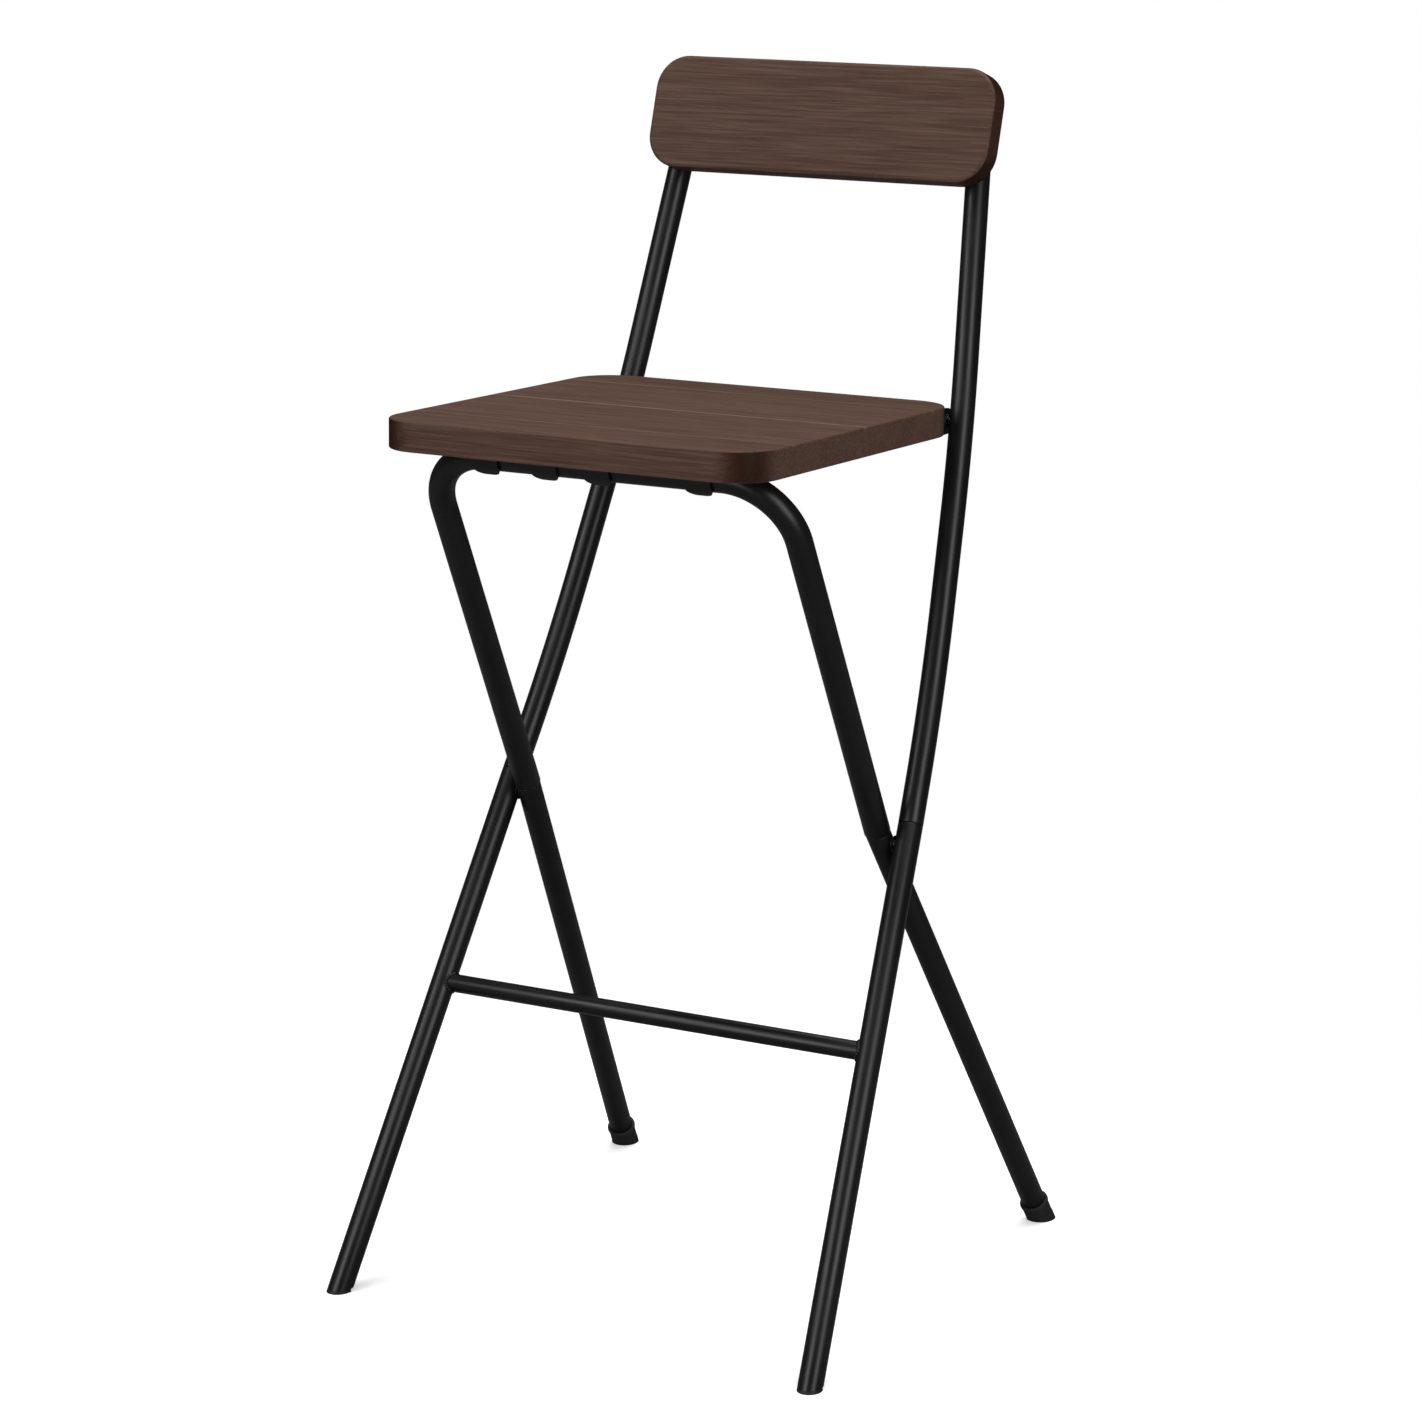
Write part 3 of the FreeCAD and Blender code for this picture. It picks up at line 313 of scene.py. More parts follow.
def merged_copy(mesh, distance):
    """Bmesh of a mesh with its doubled corners joined."""
    work = bmesh.new()
    work.from_mesh(mesh)
    bmesh.ops.remove_doubles(work, verts=work.verts, dist=distance)
    return work


def joined(meshes, name, angle):
    work = bmesh.new()
    for mesh in meshes:
        work.from_mesh(mesh)
    return finished(work, name, angle)


def polyline(points, name):
    mesh = bpy.data.meshes.new(name)
    mesh.from_pydata([tuple(point) for point in points],
                     [(index, index + 1) for index in range(len(points) - 1)], [])
    return mesh


def placed(mesh, place):
    mesh.transform(place)
    mesh.update()
    return mesh


def axis_place(origin, direction):
    """Frame whose Z axis runs along a direction."""
    turn = UP.rotation_difference(direction.normalized())
    return Matrix.Translation(origin) @ turn.to_matrix().to_4x4()


def add_wall(obj, thickness, offset):
    wall = obj.modifiers.new("wall", "SOLIDIFY")
    wall.thickness = thickness
    wall.offset = offset


def add_rounding(obj, width, angle=60, segments=3):
    edge = obj.modifiers.new("rounding", "BEVEL")
    edge.limit_method = "ANGLE"
    edge.angle_limit = math.radians(angle)
    edge.width = width
    edge.segments = segments


# Nodes

def feed(tree, socket, value):
    """Joins an input to another node's output, or gives it a constant."""
    if isinstance(value, bpy.types.NodeSocket):
        tree.links.new(value, socket)
    elif socket.type == "RGBA":
        socket.default_value = (*tuple(value)[:3], 1.0)
    else:
        socket.default_value = value


def add_node(tree, kind, inputs=None, **settings):
    """New node with its settings, and its inputs by name or number."""
    node = tree.nodes.new(kind)
    for key, value in settings.items():
        setattr(node, key, value)
    for key, value in (inputs or {}).items():
        feed(tree, node.inputs[key], value)
    return node


def math_node(tree, operation, *values, clamp=False):
    node = add_node(tree, "ShaderNodeMath", dict(enumerate(values)), operation=operation,
                    use_clamp=clamp)
    return node.outputs[0]


# Geometry node trees

def new_tree(name, inputs):
    """Tree that takes a geometry and named values, with the outputs of its input node."""
    tree = bpy.data.node_groups.new(name, "GeometryNodeTree")
    tree.interface.new_socket("Geometry", in_out="INPUT", socket_type="NodeSocketGeometry")
    for label, kind, default in inputs:
        socket = tree.interface.new_socket(label, in_out="INPUT", socket_type=kind)
        if default is not None:
            socket.default_value = default
    tree.interface.new_socket("Material", in_out="INPUT", socket_type="NodeSocketMaterial")
    tree.interface.new_socket("Geometry", in_out="OUTPUT", socket_type="NodeSocketGeometry")
    return tree, add_node(tree, "NodeGroupInput").outputs


def finish_tree(tree, geometry, given):
    realize = add_node(tree, "GeometryNodeRealizeInstances", {0: geometry})
    paint = add_node(tree, "GeometryNodeSetMaterial", {
        "Geometry": realize.outputs[0], "Material": given["Material"]})
    add_node(tree, "NodeGroupOutput", {0: paint.outputs[0]})
    return tree


def tube_tree():
    """Round tube along a corner line: bends are filleted, the lower end is cut to a level."""
    tree, given = new_tree("swept tube", [
        ("Bend radius", "NodeSocketFloat", 0.05),
        ("Bend steps", "NodeSocketInt", 24),
        ("Radius", "NodeSocketFloat", 0.01),
        ("Sides", "NodeSocketInt", 48),
        ("Level", "NodeSocketFloat", 0.0),
        ("Level cut", "NodeSocketBool", False),
    ])
    line = add_node(tree, "GeometryNodeMeshToCurve", {"Mesh": given["Geometry"]})
    bend = add_node(tree, "GeometryNodeFilletCurve", {
        "Curve": line.outputs[0], "Radius": given["Bend radius"],
        "Count": given["Bend steps"]}, mode="POLY")
    kept = add_node(tree, "GeometryNodeCaptureAttribute", {"Geometry": bend.outputs[0]})
    kept.capture_items.new("FLOAT", "Factor")
    kept.capture_items.new("VECTOR", "Tangent")
    along = add_node(tree, "GeometryNodeSplineParameter")
    heading = add_node(tree, "GeometryNodeInputTangent")
    feed(tree, kept.inputs["Factor"], along.outputs["Factor"])
    feed(tree, kept.inputs["Tangent"], heading.outputs[0])
    circle = add_node(tree, "GeometryNodeCurvePrimitiveCircle", {
        "Resolution": given["Sides"], "Radius": given["Radius"]})
    sweep = add_node(tree, "GeometryNodeCurveToMesh", {
        "Curve": kept.outputs["Geometry"], "Profile Curve": circle.outputs[0]})
    # lower ring slides along the tube until it lies on the level plane
    position = add_node(tree, "GeometryNodeInputPosition")
    place = add_node(tree, "ShaderNodeSeparateXYZ", {0: position.outputs[0]})
    slope = add_node(tree, "ShaderNodeSeparateXYZ", {0: kept.outputs["Tangent"]})
    drop = math_node(tree, "SUBTRACT", given["Level"], place.outputs["Z"])
    reach = math_node(tree, "DIVIDE", drop, slope.outputs["Z"])
    slide = add_node(tree, "ShaderNodeVectorMath", {
        0: kept.outputs["Tangent"], "Scale": reach}, operation="SCALE")
    at_start = add_node(tree, "FunctionNodeCompare", {0: kept.outputs["Factor"], 1: 0.0001},
                        data_type="FLOAT", operation="LESS_THAN")
    lowest = add_node(tree, "FunctionNodeBooleanMath", {
        0: at_start.outputs[0], 1: given["Level cut"]}, operation="AND")
    trim = add_node(tree, "GeometryNodeSetPosition", {
        "Geometry": sweep.outputs[0], "Selection": lowest.outputs[0],
        "Offset": slide.outputs[0]})
    return finish_tree(tree, trim.outputs[0], given)


def placed_tree():
    """Copies of one part on given points, its Z axis turned to a facing direction."""
    tree, given = new_tree("parts on points", [
        ("Part", "NodeSocketObject", None),
        ("Facing", "NodeSocketVector", (0.0, 0.0, 1.0)),
        ("Turn spread", "NodeSocketFloat", 3.0),
        ("Seed", "NodeSocketInt", 4),
    ])
    part = add_node(tree, "GeometryNodeObjectInfo", {"Object": given["Part"]},
                    transform_space="ORIGINAL")
    face = add_node(tree, "FunctionNodeAlignRotationToVector", {"Vector": given["Facing"]},
                    axis="Z")
    spread = add_node(tree, "FunctionNodeRandomValue", {
        3: given["Turn spread"], "Seed": given["Seed"]}, data_type="FLOAT")
    spin = add_node(tree, "FunctionNodeAxisAngleToRotation", {
        "Axis": (0.0, 0.0, 1.0), "Angle": spread.outputs[1]})
    turned = add_node(tree, "FunctionNodeRotateRotation", {
        0: face.outputs[0], 1: spin.outputs[0]}, rotation_space="LOCAL")
    copies = add_node(tree, "GeometryNodeInstanceOnPoints", {
        "Points": given["Geometry"], "Instance": part.outputs["Geometry"],
        "Rotation": turned.outputs[0]})
    return finish_tree(tree, copies.outputs[0], given)


def bead_tree():
    """Weld bead along a closed line, thick and thin as the ripples of a run of weld."""
    tree, given = new_tree("weld bead", [
        ("Thickness", "NodeSocketFloat", 0.0015),
        ("Ripple", "NodeSocketFloat", 0.25),
        ("Ripples", "NodeSocketFloat", 26.0),
    ])
    line = add_node(tree, "GeometryNodeMeshToCurve", {"Mesh": given["Geometry"]})
    along = add_node(tree, "GeometryNodeSplineParameter")
    turns = math_node(tree, "MULTIPLY", along.outputs["Factor"], given["Ripples"])
    wave = math_node(tree, "SINE", math_node(tree, "MULTIPLY", turns, 2 * math.pi))
    depth = math_node(tree, "MULTIPLY_ADD", wave, given["Ripple"], 1.0)
    circle = add_node(tree, "GeometryNodeCurvePrimitiveCircle", {
        "Resolution": 10, "Radius": given["Thickness"]})
    sweep = add_node(tree, "GeometryNodeCurveToMesh", {
        "Curve": line.outputs[0], "Profile Curve": circle.outputs[0], "Scale": depth})
    return finish_tree(tree, sweep.outputs[0], given)


def run_tree(mesh, tree, values, slot, name):
    """Mesh that a node tree makes from a mesh, with its inputs set by socket identifier."""
    values = {**values, "Material": material(slot)}
    host = linked(name + "_host", mesh)
    modifier = host.modifiers.new("tree", "NODES")
    modifier.node_group = tree
    for item in tree.interface.items_tree:
        if item.item_type == "SOCKET" and item.in_out == "INPUT" and item.name in values:
            modifier[item.identifier] = values[item.name]
    host.update_tag()
    bpy.context.view_layer.update()
    result = evaluated_mesh(host, name)
    host.modifiers.remove(modifier)
    bpy.data.objects.remove(host)
    return result


# Shader node groups

def shader_group(name, inputs, outputs):
    """Group with named sockets, its inputs to read from and its outputs to fill."""
    group = bpy.data.node_groups.new(name, "ShaderNodeTree")
    vector = group.interface.new_socket("Vector", in_out="INPUT",
                                        socket_type="NodeSocketVector")
    vector.default_value = (0.0, 0.0, 0.0)
    for label, default in inputs.items():
        kind = "NodeSocketColor" if isinstance(default, tuple) else "NodeSocketFloat"
        socket = group.interface.new_socket(label, in_out="INPUT", socket_type=kind)
        socket.default_value = default
    for label, kind in outputs.items():
        group.interface.new_socket(label, in_out="OUTPUT", socket_type=kind)
    given = add_node(group, "NodeGroupInput").outputs
    return group, given, add_node(group, "NodeGroupOutput").inputs


SURFACE = {"Color": "NodeSocketColor", "Roughness": "NodeSocketFloat",
           "Height": "NodeSocketFloat"}


def noise_at(tree, vector, stretch, detail=4.0, roughness=0.5, seed=0.0, distortion=0.0):
    """Noise on a vector stretched by three factors, in features for each metre."""
    scaled = add_node(tree, "ShaderNodeVectorMath", {0: vector, 1: stretch},
                      operation="MULTIPLY")
    noise = add_node(tree, "ShaderNodeTexNoise", {
        "Vector": scaled.outputs[0], "W": seed, "Scale": 1.0, "Detail": detail,
        "Roughness": roughness, "Distortion": distortion}, noise_dimensions="4D")
    return noise.outputs["Fac"]


def ramp(tree, value, low, high):
    """Value mapped so that low gives 0 and high gives 1, held outside them."""
    node = add_node(tree, "ShaderNodeMapRange", {
        "Value": value, "From Min": low, "From Max": high}, interpolation_type="SMOOTHSTEP")
    return node.outputs["Result"]


def mixed(tree, share, first, second):
    """Colour between two, by a share from 0 to 1."""
    node = add_node(tree, "ShaderNodeMix", {0: share, 6: first, 7: second}, data_type="RGBA")
    return node.outputs[2]


def masked_mix(tree, mask, strength, first, second):
    """First colour, with the second laid on where the mask is."""
    return mixed(tree, math_node(tree, "MULTIPLY", mask, strength), first, second)


def wood_grain_group():
    """Straight-grained wood: fibres along X, board-wide bands and short open pores."""
    group, given, out = shader_group("wood grain", {
        "Main": (0.08, 0.05, 0.04, 1.0),
        "Dark": (0.03, 0.02, 0.015, 1.0),
        "Light": (0.11, 0.08, 0.06, 1.0),
        "Band contrast": 0.35,
    }, SURFACE)
    vector = given["Vector"]
    bands = noise_at(group, vector, (2.0, 60.0, 60.0), 3.0, seed=1.7, distortion=0.35)
    fibres = noise_at(group, vector, (11.0, 470.0, 470.0), 4.0, 0.55, seed=5.1)
    hair = noise_at(group, vector, (20.0, 960.0, 960.0), 2.0, seed=8.4)
    pores = noise_at(group, vector, (26.0, 1250.0, 1250.0), 2.0, 0.45, seed=2.9)
    band_mask = ramp(group, bands, 0.36, 0.64)
    fibre_mask = ramp(group, fibres, 0.38, 0.62)
    hair_mask = ramp(group, hair, 0.35, 0.65)
    pore_mask = ramp(group, pores, 0.60, 0.74)
    toned = masked_mix(group, band_mask, given["Band contrast"], given["Main"], given["Light"])
    streaked = masked_mix(group, fibre_mask, 0.68, toned, given["Light"])
    haired = masked_mix(group, hair_mask, 0.48, streaked, given["Dark"])
    feed(group, out["Color"], masked_mix(group, pore_mask, 0.4, haired, given["Dark"]))
    rough = math_node(group, "MULTIPLY_ADD", fibre_mask, 0.08, 0.40)
    feed(group, out["Roughness"], math_node(group, "MULTIPLY_ADD", pore_mask, 0.14, rough))
    ridges = math_node(group, "MULTIPLY_ADD", fibre_mask, 0.5, 0.5)
    pits = math_node(group, "MULTIPLY", pore_mask, 0.7)
    feed(group, out["Height"], math_node(group, "SUBTRACT", ridges, pits))
    return group


def coat_group():
    """Fine orange peel, slow sheen changes and faint rubbed dust of powder-coated steel."""
    group, given, out = shader_group("powder coat grain", {
        "Coat": (0.01, 0.01, 0.01, 1.0),
        "Dust colour": (0.022, 0.0215, 0.021, 1.0),
        "Peel size": 0.0007,
        "Base roughness": 0.42,
        "Dust": 0.25,
    }, SURFACE)
    vector = given["Vector"]
    density = math_node(group, "DIVIDE", 1.0, given["Peel size"])
    peel = add_node(group, "ShaderNodeTexNoise", {
        "Vector": vector, "Scale": density, "Detail": 2.0, "Roughness": 0.45})
    sheen = noise_at(group, vector, (14.0, 14.0, 14.0), 3.0, seed=3.3)
    specks = noise_at(group, vector, (620.0, 620.0, 620.0), 1.0, 0.4, seed=6.2)
    sheen_mask = ramp(group, sheen, 0.35, 0.68)
    speck_mask = ramp(group, specks, 0.66, 0.74)
    haze = math_node(group, "MULTIPLY", sheen_mask, 0.35)
    dusty = math_node(group, "MULTIPLY_ADD", speck_mask, 0.5, haze)
    feed(group, out["Color"], masked_mix(group, dusty, given["Dust"], given["Coat"],
                                      given["Dust colour"]))
    feed(group, out["Roughness"], math_node(group, "MULTIPLY_ADD", sheen_mask, 0.07,
                                            given["Base roughness"]))
    feed(group, out["Height"], peel.outputs["Fac"])
    return group


def board_joint_group():
    """Mask of the thin pale lines along X where the seat's boards are glued together."""
    group, given, out = shader_group("board joints", {
        "Front joint": -0.114,
        "Middle joint": 0.006,
        "Rear joint": 0.126,
    }, {"Mask": "NodeSocketFloat"})
    vector = given["Vector"]
    split = add_node(group, "ShaderNodeSeparateXYZ", {0: vector})
    wander = noise_at(group, vector, (7.0, 1.0, 1.0), 2.0, seed=4.4)
    broken = noise_at(group, vector, (16.0, 40.0, 1.0), 3.0, 0.6, seed=9.3)
    across = math_node(group, "MULTIPLY_ADD", wander, 0.003, split.outputs["Y"])
    shift = math_node(group, "SUBTRACT", across, 0.0015)
    mask = 0.0
    for label, strength in (("Front joint", 0.45), ("Middle joint", 1.0), ("Rear joint", 0.5)):
        offset = math_node(group, "SUBTRACT", shift, given[label])
        fade = ramp(group, math_node(group, "ABSOLUTE", offset), 0.0004, 0.0032)
        line = math_node(group, "SUBTRACT", 1.0, fade)
        mask = math_node(group, "MULTIPLY_ADD", line, strength, mask)
    worn = math_node(group, "MULTIPLY", mask, ramp(group, broken, 0.24, 0.56), clamp=True)
    on_top = ramp(group, split.outputs["Z"], -0.004, -0.001)
    feed(group, out["Mask"], math_node(group, "MULTIPLY", worn, on_top))
    return group


def corner_mask_group():
    """Masks of the painted shade on a board's rounded corners and of its rim, the side faces, in
    the board's own upright frame.
    """
    group, given, out = shader_group("turned corner", {
        "Half width": 0.17,
        "Half depth": 0.17,
        "Corner": 0.038,
    }, {"Mask": "NodeSocketFloat", "Rim": "NodeSocketFloat"})
    split = add_node(group, "ShaderNodeSeparateXYZ", {0: given["Vector"]})
    corner = given["Corner"]
    inward = []
    squares = []
    for axis, half in (("X", "Half width"), ("Y", "Half depth")):
        away = math_node(group, "ABSOLUTE", split.outputs[axis])
        start = math_node(group, "SUBTRACT", given[half], corner)
        share = math_node(group, "DIVIDE", math_node(group, "SUBTRACT", away, start), corner)
        inward.append(share)
        held = math_node(group, "MAXIMUM", share, 0.0)
        squares.append(math_node(group, "POWER", held, 2.0))
    # radius from the corner's centre, one on the turned face and less inside the board
    radius = math_node(group, "SQRT", math_node(group, "ADD", *squares))
    near_face = ramp(group, radius, 0.965, 0.995)
    # the corner mask marks where the painted shade goes
    turned = ramp(group, math_node(group, "MINIMUM", *inward), -0.05, 0.62)
    feed(group, out["Mask"], math_node(group, "MULTIPLY", turned, near_face))
    feed(group, out["Rim"], near_face)
    return group


# Materials

MATERIALS = {}


def material(name):
    if name not in MATERIALS:
        raise RuntimeError("the finishes are made first: run stool.finishes")
    return MATERIALS[name]


def new_material(name, surface, constants):
    """Material whose shader gets constants, and what a function makes from a position."""
    made = bpy.data.materials.new(name)
    made.use_nodes = True
    tree = made.node_tree
    coordinates = add_node(tree, "ShaderNodeTexCoord")
    inputs = surface(tree, coordinates.outputs["Object"])
    shader = tree.nodes["Principled BSDF"]
    for label, value in {**constants, **inputs}.items():
        feed(tree, shader.inputs[label], value)
    return made


def bumped(tree, height, depth):
    """Normal of a surface whose relief is a given depth."""
    node = add_node(tree, "ShaderNodeBump", {
        "Strength": 1.0, "Distance": depth, "Height": height})
    return node.outputs["Normal"]


def use_group(tree, group, vector, values):
    node = add_node(tree, "ShaderNodeGroup", {"Vector": vector, **values}, node_tree=group)
    return node.outputs


def coat_material(name, group, colours):
    """Powder coat, rubber or plastic, by its row in COATS."""
    tint, peel, roughness, dust, depth, specular = COATS[name]

    def surface(tree, vector):
        grain = use_group(tree, group, vector, {
            "Coat": getattr(colours, tint), "Dust colour": colours.dust,
            "Peel size": peel, "Base roughness": roughness, "Dust": dust})
        return {"Base Color": grain["Color"], "Roughness": grain["Roughness"],
                "Normal": bumped(tree, grain["Height"], depth)}

    return new_material(name, surface, {"Specular IOR Level": specular})


def wood_material(name, groups, colours, place, size, corner, upright, joints, side_darkening):
    """Stained wood with its grain along X, in the board's own frame, with painted shade on its
    rounded corners and darker side faces.
    """

    def surface(tree, vector):
        own = add_node(tree, "ShaderNodeMapping", {
            "Vector": vector, "Location": place.translation, "Rotation": place.to_euler()},
            vector_type="TEXTURE").outputs[0]
        grain = use_group(tree, groups["wood"], own, {
            "Main": colours.wood, "Dark": colours.wood_dark, "Light": colours.wood_light,
            "Band contrast": 0.35})
        tone = grain["Color"]
        if joints:
            lines = use_group(tree, groups["joints"], own, {})
            tone = masked_mix(tree, lines["Mask"], 0.75, tone, colours.wood_joint)
        if not upright:
            own = add_node(tree, "ShaderNodeMapping", {
                "Vector": own, "Rotation": (math.radians(90), 0.0, 0.0)}).outputs[0]
        corners = use_group(tree, groups["corner"], own, {
            "Half width": size[0] / 2, "Half depth": size[1] / 2, "Corner": corner})
        # painted shade: the rounded corners are darkened towards the corner shade colour, and the
        # side faces are darkened towards it by the side share
        tone = masked_mix(tree, corners["Mask"], 0.92, tone, colours.wood_corner_shade)
        tone = masked_mix(tree, corners["Rim"], side_darkening, tone, colours.wood_corner_shade)
        return {"Base Color": tone, "Roughness": grain["Roughness"],
                "Normal": bumped(tree, grain["Height"], PORE_DEPTH)}

    return new_material(name, surface, {"Specular IOR Level": 0.05})


def metal_material(name, tint, roughness, scale):
    """Bare metal with slow changes of tone."""

    def surface(tree, vector):
        tone = noise_at(tree, vector, (scale, scale, scale), 3.0, seed=1.0)
        share = ramp(tree, tone, 0.3, 0.7)
        darker = tuple(0.75 * part for part in tint)
        return {"Base Color": mixed(tree, share, tint, darker),
                "Roughness": math_node(tree, "MULTIPLY_ADD", share, 0.12, roughness),
                "Normal": bumped(tree, tone, PLATING_DEPTH)}

    return new_material(name, surface, {"Metallic": 1.0})


def floor_material():
    """White floor that still takes the stool's faint shadow."""

    def surface(tree, vector):
        path = add_node(tree, "ShaderNodeLightPath").outputs
        # far from the stool, and seen from below, the floor gives way to the white backdrop
        away = add_node(tree, "ShaderNodeVectorMath", {0: vector}, operation="LENGTH")
        side = add_node(tree, "ShaderNodeNewGeometry")
        unseen = math_node(tree, "MAXIMUM", ramp(tree, away.outputs["Value"], 0.45, 1.0),
                           side.outputs["Backfacing"])
        hidden = math_node(tree, "MULTIPLY", unseen, path["Is Camera Ray"])
        return {"Base Color": mixed(tree, path["Is Glossy Ray"], FLOOR_TONE, FLOOR_IN_GLOSS),
                "Emission Color": mixed(tree, path["Is Camera Ray"], NO_GLOW, FLOOR_GLOW),
                "Alpha": math_node(tree, "SUBTRACT", 1.0, hidden)}

    return new_material("floor_white", surface, {
        "Roughness": 0.9, "Specular IOR Level": 0.0, "Emission Strength": 1.0})


# Shapes

def add_ring(work, radius, height, steps):
    """Level ring about Z; the radius is a number, or a function of the angle."""
    ring = []
    for step in range(steps):
        angle = 2 * math.pi * step / steps
        reach = radius(angle) if callable(radius) else radius
        ring.append(work.verts.new((reach * math.cos(angle), reach * math.sin(angle), height)))
    return ring


def stitch(work, rings):
    """Faces between neighbouring rings; a ring of one corner is a pole."""
    for lower, upper in zip(rings, rings[1:]):
        steps = max(len(lower), len(upper))
        for step in range(steps):
            following = (step + 1) % steps
            corners = []
            for vertex in (lower[step % len(lower)], lower[following % len(lower)],
                           upper[following % len(upper)], upper[step % len(upper)]):
                if vertex not in corners:
                    corners.append(vertex)
            work.faces.new(corners)


def close_ends(work, rings):
    work.faces.new(list(reversed(rings[0])))
    work.faces.new(rings[-1])


def turned_mesh(name, profile, steps=40, angle=35):
    """Solid of revolution about Z from (radius, height) points that start and end on the axis."""
    work = bmesh.new()
    rings = []
    for radius, height in profile:
        rings.append(add_ring(work, radius, height, steps if radius else 1))
    stitch(work, rings)
    bmesh.ops.recalc_face_normals(work, faces=work.faces)
    return finished(work, name, angle)


def rounded_outline(width, depth, corner, steps=12):
    """Points of a rounded rectangle with the outward direction at each."""
    points = []
    for quarter, (sign_x, sign_y) in enumerate(((1, 1), (-1, 1), (-1, -1), (1, -1))):
        centre = Vector((sign_x * (width / 2 - corner), sign_y * (depth / 2 - corner)))
        for step in range(steps + 1):
            angle = math.radians(90) * (quarter + step / steps)
            outward = Vector((math.cos(angle), math.sin(angle)))
            points.append((centre + outward * corner, outward))
    return points


def board_mesh(name, size, corner, low_round, high_round, steps=6):
    """Board between z = 0 and its thickness, with rounded edges and flat faces."""
    width, depth, thickness = size
    levels = [(low_round + BOARD_MARGIN, 0.0)]
    for step in range(steps + 1):
        angle = math.radians(90) * step / steps
        levels.append((low_round * (1 - math.sin(angle)), low_round * (1 - math.cos(angle))))
    for step in range(steps + 1):
        angle = math.radians(90) * step / steps
        levels.append((high_round * (1 - math.cos(angle)),
                       thickness - high_round * (1 - math.sin(angle))))
    levels.append((high_round + BOARD_MARGIN, thickness))
    outline = rounded_outline(width, depth, corner)
    work = bmesh.new()
    rings = []
    for inset, height in levels:
        rings.append([work.verts.new((*(point - outward * inset), height))
                      for point, outward in outline])
    stitch(work, rings)
    close_ends(work, rings)
    return finished(work, name)


def bar_mesh(name, radius, length_along, place, sides=96):
    """Round bar centred on its frame, its length along X."""
    work = bmesh.new()
    lying = place @ Matrix.Rotation(math.radians(90), 4, "Y")
    bmesh.ops.create_cone(work, cap_ends=True, segments=sides, radius1=radius, radius2=radius,
                          depth=length_along, matrix=lying)
    return finished(work, name)


def box_mesh(name, size, place):
    work = bmesh.new()
    bmesh.ops.create_cube(work, size=1.0, matrix=place @ Matrix.Diagonal((*size, 1.0)))
    return finished(work, name)


def carved(mesh, cutters, name, angle=30):
    """Mesh with the cutters' space taken out."""
    host = linked(name + "_host", mesh)
    tools = []
    for cutter in cutters:
        tool = linked(name + "_cutter", cutter)
        tools.append(tool)
        cut = host.modifiers.new("cut", "BOOLEAN")
        cut.operation = "DIFFERENCE"
        cut.solver = "EXACT"
        cut.object = tool
    bpy.context.view_layer.update()
    result = evaluated_mesh(host, name)
    for obj in [host] + tools:
        bpy.data.objects.remove(obj)
    set_smooth(result, angle)
    return result


def cut_level(mesh, height):
    """Keeps what is above a level plane and closes the cut."""
    work = bmesh.new()
    work.from_mesh(mesh)
    found = bmesh.ops.bisect_plane(
        work, geom=work.verts[:] + work.edges[:] + work.faces[:], plane_co=(0, 0, height),
        plane_no=UP, clear_inner=True)
    edges = [item for item in found["geom_cut"] if isinstance(item, bmesh.types.BMEdge)]
    bmesh.ops.contextual_create(work, geom=edges)
    bmesh.ops.recalc_face_normals(work, faces=work.faces)
    work.to_mesh(mesh)
    work.free()


def face_outwards(work, start, axis):
    """Turns a tube's faces over where they look at its axis."""
    face = next(iter(work.faces))
    from_axis = face.calc_center_median() - start
    from_axis -= axis * from_axis.dot(axis)
    if face.normal.dot(from_axis) < 0:
        bmesh.ops.reverse_faces(work, faces=work.faces)


def tube_object(node, points, radius, body, level=None, bend=0.0, steps=1, rim=None,
                mouth=None):
    """Hollow tube along its corner line, in place of a CAD tube.

    The mouth, a point and a normal, is the plane on which a straight tube ends.
    """
    sizes = bpy.context.scene.stool_sizes
    name = "steel_" + node
    tree = bpy.data.node_groups.get("swept tube") or tube_tree()
    skin = run_tree(polyline(points, name + "_path"), tree, {
        "Bend radius": bend, "Bend steps": steps, "Radius": radius,
        "Sides": sizes.tube_sides, "Level": level or 0.0, "Level cut": level is not None},
        "frame_black", name)
    work = merged_copy(skin, 1e-6)
    axis = (points[1] - points[0]).normalized()
    face_outwards(work, points[0], axis)
    if mouth is not None:
        spot, normal = mouth
        middle = (points[0] + points[-1]) / 2
        for vertex in work.verts:
            if (vertex.co - middle).dot(axis) > 0:
                vertex.co += axis * ((spot - vertex.co).dot(normal) / axis.dot(normal))
    work.to_mesh(skin)
    work.free()
    tube = add_piece(name, skin, "frame_black", body, (node,))
    add_wall(tube, sizes.tube_wall, -1.0)
    add_rounding(tube, rim or sizes.tube_rim)
    set_smooth(skin, 40)


# Operators, one for each piece or group of like pieces

class STOOL_OT_finishes(bpy.types.Operator):
    """Make the powder coat, wood, rubber, plastic and metal finishes"""
    bl_idname = "stool.finishes"
    bl_label = "Finishes"

    def execute(self, context):
        colours = context.scene.stool_colours
        sizes = context.scene.stool_sizes
        groups = {"wood": wood_grain_group(), "coat": coat_group(),
                  "corner": corner_mask_group(), "joints": board_joint_group()}
        for name in COATS:
            MATERIALS[name] = coat_material(name, groups["coat"], colours)
        MATERIALS["zinc_steel"] = metal_material("zinc_steel", colours.zinc, 0.3, 900.0)
        MATERIALS["seat_wood"] = wood_material(
            "seat_wood", groups, colours, seat_place(), SEAT_SIZE, SEAT_CORNER,
            upright=True, joints=True, side_darkening=0.1)
        MATERIALS["backrest_wood"] = wood_material(
            "backrest_wood", groups, colours, panel_place(sizes.back_bend), PANEL_SIZE,
            PANEL_CORNER, upright=False, joints=False, side_darkening=0.7)
        for entry in frame["record"]["subparts"]:
            node = frame["nodes"][entry["node"]]
            node.data.materials.clear()
            node.data.materials.append(material(entry["material_slot"]))
        return {"FINISHED"}


